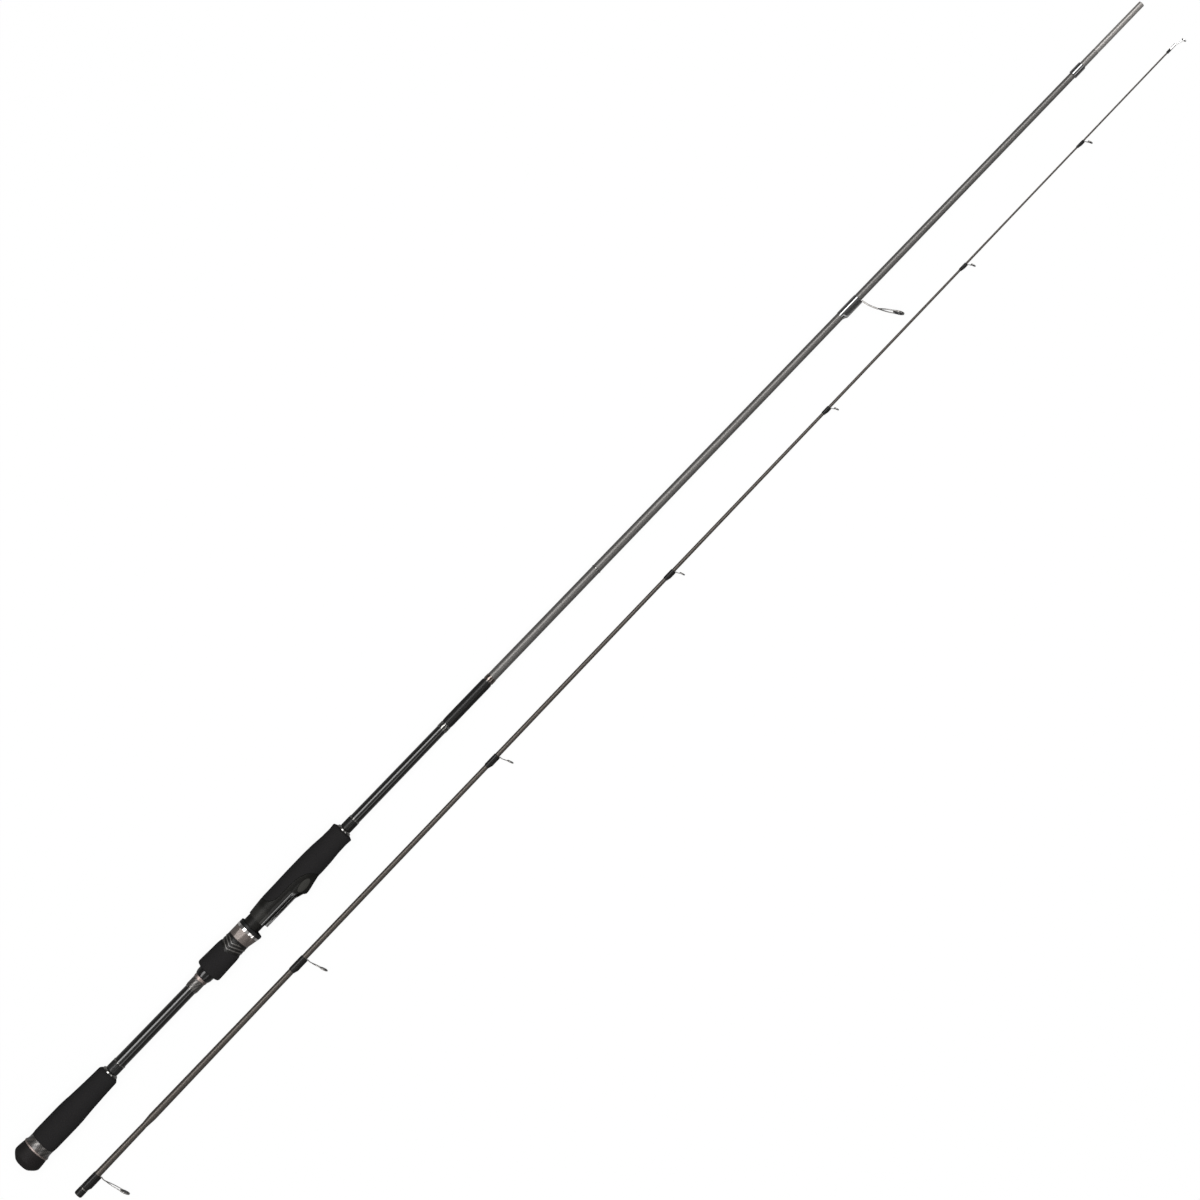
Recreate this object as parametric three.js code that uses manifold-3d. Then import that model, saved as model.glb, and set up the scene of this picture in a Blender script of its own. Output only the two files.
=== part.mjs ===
// A two-piece spinning rod, its butt section and its tip section lying side by side on a flat surface.
// Millimetres, +Z up. Each section is drawn along +X from its rear end, with its guides and reel foot bed
// facing -Y, and is then rolled, tilted and moved to where it lies. "Out" is the distance from a section's
// own centre line towards its guides, and "side" is the distance across, along +Z.
import * as THREE from 'three';
import { mergeVertices } from 'three/addons/utils/BufferGeometryUtils.js';
import Module from 'manifold-3d';

// ---- Clearances ----
const glueLine = 0.1; // between pieces glued one over the other
const seam = 0.1; // between pieces that butt against each other in a row
const slideFit = 0.2; // between the moving hood's parts and what they slide or turn on
const threadFit = 0.3; // all round the reel seat's thread
const ferruleFit = 0.06; // between the male ferrule and its socket
const flangeFit = 0.15; // round the moving hood's flange, inside the nut's band
const hoodStop = 0.5; // bare barrel left behind the body when the hood is fully forward
const cutPast = 1; // how far a cutting solid runs past what it cuts

// ---- Roundness of the turned pieces, in facets ----
const handleSides = 22;
const blankSides = 16; // blanks, bands and whippings
const threadSides = 12;
const ringSides = 14;
const wireSides = 5;

// ---- Shapes of the layers on a blank: share of the length, share of the thickness ----
const plainBand = [[0, 1], [1, 1]];
const softWhipping = [[0, 0.35], [0.15, 1], [0.85, 1], [1, 0.35]];
const windingCheck = [[0, 1], [0.5, 0.92], [1, 0.4]];
const beadedRing = [[0, 0.76], [0.3, 1], [0.8, 1], [1, 0.82]];
const flaredCone = [[0, 0.62], [0.2, 0.88], [0.5, 1], [1, 1]];

// ---- Butt section: blank ----
const buttLength = 1336; // from the cap's rear to the ferrule's end
const blankInset = 4; // rubber behind the blank's rear end
const buttRadius = 5.7;
const handleFrontRadius = 4.6; // blank where the handle ends
const shoulderRadius = 2.8; // blank just behind the male ferrule
const ferruleShoulder = 0.1; // step from the blank down to the male ferrule
const ferruleTaper = 0.1; // what the male ferrule loses in radius along its length
const ferruleLength = 71;
const buttWall = 1;

// ---- Butt section: handle, from the rear ----
const capLength = 17.1;
const capRadius = 13.25;
const buttRingLength = 1.5;
const buttRingRadius = 12.75;
const collarLength = 6.9;
const collarRadius = 12.4;
const rearGripLength = 79.2;
const rearGripRadius = 11.85;
const checkLength = 2;
const checkWall = 1.9;
const rearWrapLength = 8.7;
const rearWrapThickness = 0.24;
const trimLength = 1.4;
const trimThickness = 0.35; // of trim rings over what they sit on
const splitLength = 83.6; // bare blank between the grips
const tailCollarLength = 8.7;
const tailCollarWall = 0.58;
const tailRingLength = 3;
const tailRingWall = 1.05;
const tailConeLength = 4.7;
const tailConeWall = 1.9;
const foregripLength = 102.4;
const foregripWall = 2.75; // foam over the seat's barrel, at the grip's fullest
const frontWrapLength = 10;
const frontWrapThickness = 0.32;

// ---- Reel seat ----
const arborWall = 0.2; // tape between the blank and the seat's bore
const barrelWall = 2; // under the thread
const threadDepth = 0.75;
const threadPitch = 3;
const threadLength = 34;
const hoodTravel = 7; // of the moving hood, from fully open to its stop
const bedFloor = 0.6; // under the foot bed, over the bore
const bedWidth = 13; // between the rails
const bedLength = 40.6; // from the body's rear to the fixed hood's mouth
const pocketDepth = 14;
const frontSpigot = 15; // barrel inside the foregrip, in front of the pocket
const keyWidth = 2.6;
const keyDepth = 0.6;
const fixedHoodWall = 2.2;
const fixedHoodOffset = 5; // centre of the fixed hood's arch, out from the centre line
const fixedHoodRadius = 8.9;
const fixedHoodReach = 20; // from the mouth to where the arch runs out in front
const mouthLip = 5.4; // of the arch's sides, behind the mouth
const mouthSetback = 3; // of the arch's roof, in front of the mouth
const mouthSill = 6.1; // how far out the mouth's rake starts
const mouthRelief = 4; // of the pocket, behind the mouth
const pocketToe = 0.55; // roof at the pocket's end, as a share of the roof at its mouth
const padInset = 3.8; // from the mouth to the pad's rear end
const padLength = 12.4;
const padWidth = 15.6;
const padThickness = 0.9;
const bodySideLength = 64; // seat body left showing, from its rear to its furthest point
const partingCurve = [
  [0.235, -1.15], [0.25, -0.7], [0.265, -0.38], [0.311, -0.03], [0.383, 0.15], [0.497, 0.195], [0.62, 0.2],
  [0.741, 0.245], [0.811, 0.352], [0.88, 0.495], [0.9375, 0.76], [1, 1.15],
]; // foam's edge on the body: share of the body's side along, share of the foregrip's radius out
const partingSteps = 18;

// ---- Lock nut and moving hood ----
const nutGripLength = 27.5;
const nutGripWall = 1.75;
const nutCoreWall = 1.2;
const nutThreadLength = 15;
const bandLength = 11.1;
const bandWall = 0.65;
const bandSpigot = 5; // nut core inside the band
const linerWall = 0.4;
const flangeLength = 1.5;
const flangeHeight = 0.4;
const hoodLength = 14.8;
const hoodWall = 0.8;
const hoodEndWall = 1; // of the moving hood, behind its pocket
const hoodLipOffset = 4.6; // centre of the moving hood's arch, out from the centre line
const hoodLipRadius = 7.9;

// ---- Bands and whippings on the butt section, each at its own distance from the rear end ----
const labelStart = 499.5;
const bandRearLength = 6;
const labelWrapLength = 49.2;
const bandFrontLength = 5;
const bandThickness = 0.25;
const labelWrapThickness = 0.3;
const markerBandStart = 683.3;
const markerBandLength = 1.6;
const ferruleWhipLength = 12;
const ferruleWhipThickness = 0.75;

// ---- Tip section ----
const tipLength = 1317; // blank alone, from the socket's mouth to its end inside the tip-top
const socketWall = 0.54;
const socketLength = 77;
const socketStep = 3; // from the socket's end to where the blank's own bore starts
const socketTaperEnd = 90;
const tipWall = 0.65;
const tipEndRadius = 0.65;
const tipTaper = [[0.178, 2.7], [0.494, 1.8], [0.869, 0.78]]; // share of the blank's length, radius there
const socketWhipStart = 0.4;
const socketWhipLength = 6.6;
const socketWhipThickness = 0.32;
const socketTrimLength = 1;

// ---- Guides: where the wrap starts, the wrap's length, then the ring's centre ahead of the wrap and out
// from the centre line, the ring's outer radius, its forward lean in degrees, the frame's gauge, and how
// far up the stem its arms part ----
const buttGuideSetback = 361.2; // from the start of its wrap to the butt section's front end
const buttGuide = {
  at: buttLength - buttGuideSetback,
  wrap: 21.7, ahead: 13.4, out: 34, radius: 4.8, lean: 30, gauge: 0.9, parting: 0.5,
};
const firstTipGuide = {
  at: socketWhipStart + socketWhipLength + socketTrimLength + 2 * seam,
  wrap: 15.8, ahead: 5, out: 26.5, radius: 4.5, lean: 20, gauge: 0.9, parting: 0.2,
};
const tipGuides = [
  firstTipGuide,
  { at: 0.195 * tipLength, wrap: 15.7, ahead: 4, out: 18.3, radius: 3.6, lean: 18, gauge: 0.8, parting: 0.25 },
  { at: 0.373 * tipLength, wrap: 12.9, ahead: 3.6, out: 11.6, radius: 2.9, lean: 18, gauge: 0.7, parting: 0.3 },
  { at: 0.536 * tipLength, wrap: 10.1, ahead: 3, out: 7.2, radius: 2.4, lean: 16, gauge: 0.6, parting: 0.3 },
  { at: 0.68 * tipLength, wrap: 7.8, ahead: 3, out: 5.4, radius: 2.2, lean: 16, gauge: 0.5, parting: 0.3 },
  { at: 0.805 * tipLength, wrap: 7.8, ahead: 3, out: 5.2, radius: 2.2, lean: 16, gauge: 0.5, parting: 0.3 },
  { at: 0.912 * tipLength, wrap: 7.8, ahead: 3, out: 5, radius: 2.2, lean: 16, gauge: 0.5, parting: 0.3 },
];
const footWidth = 2.4; // in gauges
const footInset = 1; // wrap behind the foot's rear end
const footLip = 0.8; // foot in front of the wrap
const wrapThickness = 0.4;
const stemGauge = 0.55; // stem's radius, in gauges
const stemSweep = 0.19; // how far the fork lies behind the straight line to the ring, as a share of ahead
const stemSteps = 3;
const armGauge = 0.4; // arms' radius, in gauges
const armSteps = 4;
const armBend = 0.4; // where an arm bends, as a share of its length
const armSpread = 0.75; // how far apart the arms are at the bend, as a share of the ring
const holderShare = 0.16; // frame's holder, as a share of the ring's radius
const insertShare = 0.2; // ceramic insert, as a share of the ring's radius
const insertDepthShare = 0.3; // insert's depth, as a share of the ring's radius
const insertExtraDepth = 0.5; // and this much more
const holderDepthShare = 0.7; // holder's depth, as a share of the insert's

// ---- Tip-top ----
const tipTubeLength = 8.3;
const tipTubeOverlap = 5.5; // tube over the blank
const tipTubeWall = 0.4;
const tipTubeNose = 0.9; // tube's radius at its front end, as a share
const tipArmStart = 1.5; // arms' roots behind the tube's front end
const tipRingAhead = 7.2; // ring's centre ahead of the tube
const tipRingOut = 2.75;
const tipRingRadius = 2.1;
const tipRingLean = 8;
const tipWireRadius = 0.3;
const tipWhipLength = 4.2;
const tipWhipThickness = 0.4;

// ---- How the two sections lie ----
const buttRoll = 15; // degrees, guides turned up off the surface
const tipRoll = 1.5;
const tipStart = 11.7; // tip section's rear end ahead of the butt section's
const tipTurn = 0.324; // degrees, towards the butt section at the front
const ringToTipLine = 7.87; // from the butt guide's ring to the tip section's centre line

// ---- Colours and finishes ----
const rubber = { color: 0x262424, roughness: 0.8, metalness: 0 };
const foam = { color: 0x2c2b2c, roughness: 0.95, metalness: 0 };
const bronze = { color: 0x7d6f6a, roughness: 0.25, metalness: 1 };
const silver = { color: 0xb9b6b0, roughness: 0.25, metalness: 1 };
const copper = { color: 0xa07a62, roughness: 0.3, metalness: 1 };
const carbonGloss = { color: 0x2b2a29, roughness: 0.2, metalness: 0 };
const carbonSatin = { color: 0x5c5a57, roughness: 0.45, metalness: 0 };
const wrapGloss = { color: 0x1a1918, roughness: 0.15, metalness: 0 };
const seatGloss = { color: 0x30302e, roughness: 0.2, metalness: 0 };
const padMatte = { color: 0x3e3d39, roughness: 0.9, metalness: 0 };
const nylon = { color: 0x1c1e1e, roughness: 0.5, metalness: 0 };
const hoodMetal = { color: 0x7a6c66, roughness: 0.35, metalness: 1 };
const frameMetal = { color: 0x8e8a86, roughness: 0.3, metalness: 1 };
const ceramic = { color: 0x2e2e2d, roughness: 0.15, metalness: 0 };
const tape = { color: 0xb8ac90, roughness: 0.9, metalness: 0 };

// ---- Solids ----
const wasm = await Module();
wasm.setup();

/** A closed three.js geometry as a manifold solid: positions alone, merged, without collapsed triangles. */
function toSolid(geometry) {
  geometry.deleteAttribute('normal');
  geometry.deleteAttribute('uv');
  const merged = mergeVertices(geometry);
  const corners = merged.index.array;
  const kept = [];
  for (let i = 0; i < corners.length; i += 3) {
    const [a, b, c] = [corners[i], corners[i + 1], corners[i + 2]];
    if (a !== b && b !== c && c !== a) kept.push(a, b, c);
  }
  return new wasm.Manifold(new wasm.Mesh({
    numProp: 3,
    vertProperties: merged.attributes.position.array,
    triVerts: new Uint32Array(kept),
  }));
}

/** A manifold solid as a three.js geometry. */
function toGeometry(solid) {
  const { vertProperties, triVerts } = solid.getMesh();
  const geometry = new THREE.BufferGeometry();
  geometry.setAttribute('position', new THREE.BufferAttribute(vertProperties, 3));
  geometry.setIndex(new THREE.BufferAttribute(triVerts, 1));
  geometry.computeVertexNormals();
  return geometry;
}

/** Adds a named piece to a section. */
function addPiece(section, name, solid, finish) {
  const mesh = new THREE.Mesh(toGeometry(solid), new THREE.MeshStandardMaterial(finish));
  mesh.name = name;
  section.add(mesh);
}

/** A solid of revolution about the centre line, or a line parallel to it, through [along, radius] points. */
function turned(profile, sides = handleSides, out = 0) {
  const points = profile.map(([along, radius]) => new THREE.Vector2(radius, along));
  const [first, last] = [points[0], points[points.length - 1]];
  if (first.x !== 0 || last.x !== 0) points.push(first.clone());
  return toSolid(new THREE.LatheGeometry(points, sides).rotateZ(-Math.PI / 2).translate(0, -out, 0));
}

/** A box between two distances along, two out and half a width to each side. */
function block(from, to, low, high, halfWidth) {
  const box = new THREE.BoxGeometry(to - from, high - low, 2 * halfWidth);
  return toSolid(box.translate((from + to) / 2, -(low + high) / 2, 0));
}

/** A place in a section. */
function place(along, out, side = 0) {
  return new THREE.Vector3(along, -out, side);
}

/** A round wire through places. */
function wire(places, radius, steps) {
  const section = new THREE.Shape(
    Array.from({ length: wireSides }, (_, i) => {
      const turn = (2 * Math.PI * i) / wireSides;
      return new THREE.Vector2(radius * Math.cos(turn), radius * Math.sin(turn));
    }),
  );
  const path = new THREE.CatmullRomCurve3(places);
  return toSolid(new THREE.ExtrudeGeometry(section, { steps, bevelEnabled: false, extrudePath: path }));
}

/** Straight interpolation through a list of [along, radius] stations. */
function radiusOn(stations, along) {
  const next = stations.findIndex(([at]) => at > along);
  if (next === 0) return stations[0][1];
  if (next < 0) return stations[stations.length - 1][1];
  const [[from, low], [to, high]] = [stations[next - 1], stations[next]];
  return low + ((high - low) * (along - from)) / (to - from);
}

/** The bore that follows a tapered blank between two ends, from the front to the rear. */
function boreOver(stations, from, to, gap) {
  const between = stations.filter(([at]) => at > from && at < to);
  const points = [[from, radiusOn(stations, from)], ...between, [to, radiusOn(stations, to)]];
  return points.reverse().map(([at, radius]) => [at, radius + gap]);
}

/** A piece glued over a blank, with the given outline. */
function sleeve(stations, outline, sides = handleSides) {
  const [from, to] = [outline[0][0], outline[outline.length - 1][0]];
  return turned([...outline, ...boreOver(stations, from, to, glueLine)], sides);
}

/** An outline over a span: [share of the span, share of the radius] points. */
function outlineOver({ from, to }, radius, shape) {
  return shape.map(([along, share]) => [from + along * (to - from), share * radius]);
}

/** Spans one in front of another, with a seam between them. */
function inLine(start, lengths) {
  let from = start;
  const spans = {};
  for (const [name, length] of Object.entries(lengths)) {
    spans[name] = { from, to: from + length };
    from += length + seam;
  }
  return spans;
}

/** A layer that follows a blank: [share of the span, share of the thickness] points. */
function layerOn(stations, { from, to }, thickness, shape = plainBand, sides = blankSides) {
  const outline = shape.map(([along, share]) => {
    const at = from + along * (to - from);
    return [at, radiusOn(stations, at) + glueLine + share * thickness];
  });
  return sleeve(stations, outline, sides);
}

/** A right-hand helical ridge, on a barrel or inside a nut: root and crest radii, from a start along. */
function helicalRidge({ from, length, root, crest, rootWidth, crestWidth, phase = 0 }) {
  const steps = Math.round((length / threadPitch) * threadSides);
  const positions = [];
  for (let i = 0; i <= steps; i += 1) {
    const turn = (2 * Math.PI * i) / threadSides;
    const middle = from + (threadPitch * i) / threadSides;
    const corners = [[-rootWidth, root], [-crestWidth, crest], [crestWidth, crest], [rootWidth, root]];
    if (crest < root) corners.reverse();
    for (const [width, radius] of corners) {
      positions.push(middle + width / 2, radius * Math.cos(turn + phase), radius * Math.sin(turn + phase));
    }
  }
  const index = [];
  for (let i = 0; i < steps; i += 1) {
    for (let side = 0; side < 4; side += 1) {
      const a = 4 * i + side;
      const b = 4 * i + ((side + 1) % 4);
      index.push(a, a + 4, b, b, a + 4, b + 4);
    }
  }
  const end = 4 * steps;
  index.push(0, 1, 2, 0, 2, 3, end, end + 2, end + 1, end, end + 3, end + 2);
  const geometry = new THREE.BufferGeometry();
  geometry.setAttribute('position', new THREE.Float32BufferAttribute(positions, 3));
  geometry.setIndex(index);
  return toSolid(geometry);
}

// ---- Where everything stands on the butt section ----
const handle = inLine(0, {
  cap: capLength,
  buttRing: buttRingLength,
  collar: collarLength,
  rearGrip: rearGripLength,
  rearCheck: checkLength,
  rearWrap: rearWrapLength,
  rearTrim: trimLength,
  split: splitLength,
  splitTrim: trimLength,
  tailCollar: tailCollarLength,
  tailRing: tailRingLength,
  tailCone: tailConeLength,
  nutGrip: nutGripLength,
  band: bandLength,
});
const seatStart = handle.nutGrip.from;
const hood = { from: handle.band.to + slideFit, to: handle.band.to + slideFit + hoodLength };
const bodyStart = hood.to + hoodTravel + hoodStop;
const mouth = bodyStart + bedLength;
const seatEnd = mouth + pocketDepth + frontSpigot;
const front = inLine(bodyStart, {
  foregrip: foregripLength,
  check: checkLength,
  wrap: frontWrapLength,
  trim: trimLength,
});
const ferruleStart = buttLength - ferruleLength;
const ferruleWhip = { from: ferruleStart - ferruleWhipLength, to: ferruleStart };
const ferruleRootRadius = shoulderRadius - ferruleShoulder;
const ferruleEndRadius = ferruleRootRadius - ferruleTaper;
const buttStations = [
  [blankInset, buttRadius],
  [front.trim.to, handleFrontRadius],
  [ferruleStart, shoulderRadius],
];
const ferruleStations = [[ferruleStart, ferruleRootRadius], [buttLength, ferruleEndRadius]];

// ---- Radii inside the handle, from the blank outwards ----
const boreRadius = radiusOn(buttStations, seatStart) + glueLine + arborWall + glueLine;
const bedHeight = boreRadius + bedFloor; // foot bed's distance from the centre line
const barrelRadius = boreRadius + barrelWall + threadDepth;
const foregripRadius = barrelRadius + glueLine + foregripWall;
const linerBore = barrelRadius + slideFit;
const linerRadius = linerBore + linerWall;
const flangeRadius = linerRadius + flangeHeight;
const hoodRadius = linerRadius + glueLine + hoodWall;
const nutRoot = barrelRadius + threadFit;
const nutCoreRadius = nutRoot + nutCoreWall;
const nutGripRadius = nutCoreRadius + glueLine + nutGripWall;
const bandBore = flangeRadius + flangeFit;
const bandRadius = bandBore + bandWall;

/** The handle's plain turned pieces, behind the reel seat and in front of the foregrip. */
function buildHandle(section) {
  const capOutline = outlineOver(handle.cap, capRadius, [
    [0, 0.4], [0.015, 0.5], [0.1, 0.645], [0.2, 0.785], [0.3, 0.9], [0.37, 0.965], [0.42, 0.99], [0.5, 0.995],
    [0.75, 0.965], [1, 0.93],
  ]);
  const socket = buttRadius + glueLine;
  const socketEnd = blankInset - seam;
  addPiece(section, 'butt_cap', turned([
    [0, 0], ...capOutline, [capLength, socket], [socketEnd, socket], [socketEnd, 0],
  ]), rubber);
  const rounded = [[0, 0.985], [0.3, 1], [0.7, 1], [1, 0.985]];
  addPiece(section, 'butt_ring',
    sleeve(buttStations, outlineOver(handle.buttRing, buttRingRadius, rounded)), bronze);
  addPiece(section, 'butt_collar', sleeve(buttStations, outlineOver(handle.collar, collarRadius, [
    [0, 1], [0.3, 0.96], [0.65, 0.93], [1, 0.925],
  ])), carbonGloss);
  addPiece(section, 'rear_grip', sleeve(buttStations, outlineOver(handle.rearGrip, rearGripRadius, [
    [0, 0.955], [0.05, 0.985], [0.14, 1], [0.35, 0.995], [0.43, 0.965], [0.5, 0.925], [0.7, 0.865],
    [0.85, 0.815], [0.93, 0.79], [0.968, 0.785], [1, 0.6],
  ])), foam);
  const layers = [
    ['rear_check', handle.rearCheck, checkWall, windingCheck, silver],
    ['rear_wrap', handle.rearWrap, rearWrapThickness, softWhipping, wrapGloss],
    ['rear_trim_ring', handle.rearTrim, trimThickness, plainBand, silver],
    ['split_trim_ring', handle.splitTrim, trimThickness, plainBand, silver],
    ['tail_collar', handle.tailCollar, tailCollarWall, plainBand, carbonGloss],
    ['tail_ring', handle.tailRing, tailRingWall, beadedRing, bronze],
    ['tail_cone', handle.tailCone, tailConeWall, flaredCone, wrapGloss],
    ['foregrip_check', front.check, checkWall, windingCheck, silver],
    ['foregrip_wrap', front.wrap, frontWrapThickness, softWhipping, wrapGloss],
    ['foregrip_trim_ring', front.trim, trimThickness, plainBand, silver],
  ];
  for (const [name, span, thickness, shape, finish] of layers) {
    addPiece(section, name, layerOn(buttStations, span, thickness, shape, handleSides), finish);
  }
}

/** The bare blank of the butt section, its bore open at both ends. */
function buildButtBlank(section) {
  const outside = [...buttStations, ...ferruleStations];
  const inside = outside.map(([at, radius]) => [at, radius - buttWall]).reverse();
  addPiece(section, 'butt_blank', turned([...outside, ...inside], blankSides), carbonSatin);
}

// ---- Reel seat ----
const keyway = { halfWidth: keyWidth / 2 + slideFit, depth: keyDepth + slideFit };
const bodyOutline = outlineOver(front.foregrip, foregripRadius, [
  [0, 0.8], [0.02, 0.835], [0.06, 0.87], [0.15, 0.945], [0.3, 0.985], [0.45, 1], [0.6, 0.995], [0.67, 0.965],
  [0.74, 0.91], [0.81, 0.855], [0.88, 0.81], [0.93, 0.8], [0.965, 0.835], [0.98, 0.85], [1, 0.64],
]);

/** What lies on the guides' side of the line between the reel seat's body and the foregrip. */
function guideSide(gap) {
  const curve = new THREE.SplineCurve(partingCurve.map(([along, share]) => new THREE.Vector2(
    bodyStart + along * bodySideLength + gap, -share * foregripRadius + gap)));
  const line = curve.getPoints(partingSteps);
  const [first, last] = [line[0], line[line.length - 1]];
  const beyond = -2 * foregripRadius;
  const rear = bodyStart - cutPast;
  const outline = [...line, new THREE.Vector2(last.x, beyond), new THREE.Vector2(rear, beyond),
    new THREE.Vector2(rear, first.y)];
  const solid = new THREE.ExtrudeGeometry(new THREE.Shape(outline), {
    depth: 4 * foregripRadius, bevelEnabled: false,
  });
  return toSolid(solid.translate(0, 0, -2 * foregripRadius));
}

/** The fixed hood's arch over the foot, on its own centre line, grown or shrunk. */
function fixedHood(growth) {
  const span = { from: mouth - mouthLip, to: mouth + fixedHoodReach };
  const outline = outlineOver(span, fixedHoodRadius + growth, [
    [0, 0.9], [0.12, 0.96], [0.33, 1], [0.45, 1], [0.6, 0.955], [0.73, 0.855], [0.85, 0.765], [1, 0.67],
  ]);
  return turned([[span.from, 0], ...outline, [span.to, 0]], handleSides, fixedHoodOffset);
}

/** A solid that stands on an outline of [along, out] points, from side to side. */
function acrossFrom(outline, halfWidth) {
  const shape = new THREE.Shape(outline.map(([along, out]) => new THREE.Vector2(along, -out)));
  const solid = new THREE.ExtrudeGeometry(shape, { depth: 2 * halfWidth, bevelEnabled: false });
  return toSolid(solid.translate(0, 0, -halfWidth));
}

/** What the fixed hood's raked mouth leaves open above its sides. */
function mouthRake() {
  const [rear, roof] = [mouth - mouthLip, fixedHoodOffset + fixedHoodRadius];
  const slope = (roof - mouthSill) / (mouthSetback + mouthLip);
  const top = mouthSetback + cutPast;
  return acrossFrom([
    [rear - cutPast, mouthSill - slope * cutPast], [mouth + top, mouthSill + slope * (mouthLip + top)],
    [rear - cutPast, mouthSill + slope * (mouthLip + top)],
  ], 2 * fixedHoodRadius);
}

/** The oval the finger pad fills, seen square on to the foot bed. */
function padOval(growth) {
  const middle = mouth + padInset + padLength / 2;
  const oval = new THREE.Shape();
  oval.absellipse(middle, 0, padLength / 2 + growth, padWidth / 2 + growth, 0, 2 * Math.PI);
  const solid = new THREE.ExtrudeGeometry(oval, {
    depth: fixedHoodRadius + cutPast, bevelEnabled: false, curveSegments: 8,
  });
  return toSolid(solid.rotateX(Math.PI / 2).translate(0, -fixedHoodOffset, 0));
}

/** The reel foot's pocket under the fixed hood, its roof falling towards the front. */
function fixedPocket() {
  const roof = fixedHoodRadius - fixedHoodWall;
  const [start, end] = [mouth - mouthRelief, mouth + pocketDepth];
  const arch = turned([
    [start, 0], [start, roof], [mouth + pocketDepth / 2, roof], [end, pocketToe * roof], [end, 0],
  ], handleSides, fixedHoodOffset);
  return arch.intersect(block(start, end, bedHeight, 2 * foregripRadius, bedWidth / 2));
}

/** A plain round bar along the centre line. */
function bar(from, to, radius, sides = handleSides) {
  return turned([[from, 0], [from, radius], [to, radius], [to, 0]], sides);
}

/** Threaded barrel, body, rails, foot bed and fixed hood in one moulding. */
function buildReelSeat(section) {
  const root = barrelRadius - threadDepth;
  const threadEnd = seatStart + threadLength;
  const core = bar(seatStart, threadEnd + cutPast, root, threadSides);
  const barrel = bar(threadEnd, seatEnd, barrelRadius);
  const thread = helicalRidge({
    from: seatStart + threadPitch / 2,
    length: threadLength - threadPitch,
    root: root - threadFit,
    crest: barrelRadius,
    rootWidth: threadPitch / 2,
    crestWidth: threadPitch / 4,
  });
  const outside = turned([[bodyStart, 0], ...bodyOutline, [front.foregrip.to, 0]]);
  const bore = bar(seatStart - cutPast, seatEnd + cutPast, boreRadius);
  const body = outside.intersect(guideSide(0)).add(fixedHood(0).subtract(mouthRake()));
  const flat = block(hood.from + hoodEndWall, bodyStart + cutPast, bedHeight, 2 * barrelRadius, barrelRadius);
  const bed = block(bodyStart - cutPast, mouth + cutPast, bedHeight, 2 * foregripRadius, bedWidth / 2);
  const key = block(seatStart - cutPast, bodyStart, -2 * barrelRadius, -(barrelRadius - keyway.depth),
    keyway.halfWidth);
  const recess = padOval(glueLine).subtract(fixedHood(-padThickness - glueLine));
  const seat = core.add(thread).add(barrel).add(body).subtract(bore).subtract(flat).subtract(bed)
    .subtract(fixedPocket()).subtract(key).subtract(recess);
  addPiece(section, 'reel_seat', seat, seatGloss);
  const pad = padOval(0).intersect(fixedHood(0)).subtract(fixedHood(-padThickness));
  addPiece(section, 'finger_pad', pad, padMatte);
  const arborEnd = seatEnd - seam;
  const arbor = [[seatStart, boreRadius - glueLine], [arborEnd, boreRadius - glueLine]];
  addPiece(section, 'seat_arbor', sleeve(buttStations, arbor), tape);
}

/** The EVA foregrip, over the back of the seat's body and round the blank in front of it. */
function buildForegrip(section) {
  const grip = turned([
    ...bodyOutline,
    ...boreOver(buttStations, seatEnd + seam, front.foregrip.to, glueLine),
    [seatEnd + seam, barrelRadius + glueLine],
    [bodyStart, barrelRadius + glueLine],
  ]);
  addPiece(section, 'foregrip', grip.subtract(guideSide(glueLine)).subtract(fixedHood(glueLine)), foam);
}

/** Lock nut: threaded core, its EVA sleeve, and the band that retains the hood's flange. */
function buildLockNut(section) {
  const grip = { from: handle.nutGrip.from + seam, to: handle.nutGrip.to };
  const spigotRadius = bandBore - glueLine;
  const spigotEnd = handle.band.from + bandSpigot;
  const core = turned([
    [grip.from, nutRoot], [grip.from, nutCoreRadius], [grip.to, nutCoreRadius], [grip.to, spigotRadius],
    [spigotEnd, spigotRadius], [spigotEnd, nutRoot],
  ]);
  // The nut's ridge lies half a pitch from the barrel's, on the same helix.
  const thread = helicalRidge({
    from: seatStart + 2 * threadPitch,
    length: nutThreadLength,
    root: nutRoot + nutCoreWall / 2,
    crest: barrelRadius - threadDepth + threadFit,
    rootWidth: threadPitch / 2,
    crestWidth: threadPitch / 4,
  });
  addPiece(section, 'lock_nut', core.add(thread), nylon);
  addPiece(section, 'nut_grip', turned([
    ...outlineOver(grip, nutGripRadius, [
      [0, 0.87], [0.03, 0.885], [0.17, 1], [0.5, 0.995], [0.88, 0.965], [0.92, 0.955], [1, 0.885],
    ]),
    [grip.to, nutCoreRadius + glueLine], [grip.from, nutCoreRadius + glueLine],
  ]), foam);
  const lipStart = spigotEnd + 2 * slideFit + flangeLength;
  const lipBore = linerRadius + slideFit;
  const { from, to } = handle.band;
  addPiece(section, 'nut_band', turned([
    [from, bandRadius], [to, bandRadius], [to, lipBore], [lipStart, lipBore], [lipStart, bandBore],
    [from, bandBore],
  ]), nylon);
}

/** The moving hood's arch over the foot, on its own centre line. */
function hoodLip(radius, from, to) {
  const shape = [[0, 0.66], [0.22, 0.8], [0.48, 0.95], [0.66, 1], [1, 1]];
  const outline = shape.map(([along, share]) => [from + along * (to - from), share * radius]);
  return turned([[from, 0], ...outline, [to, 0]], handleSides, hoodLipOffset);
}

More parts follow.
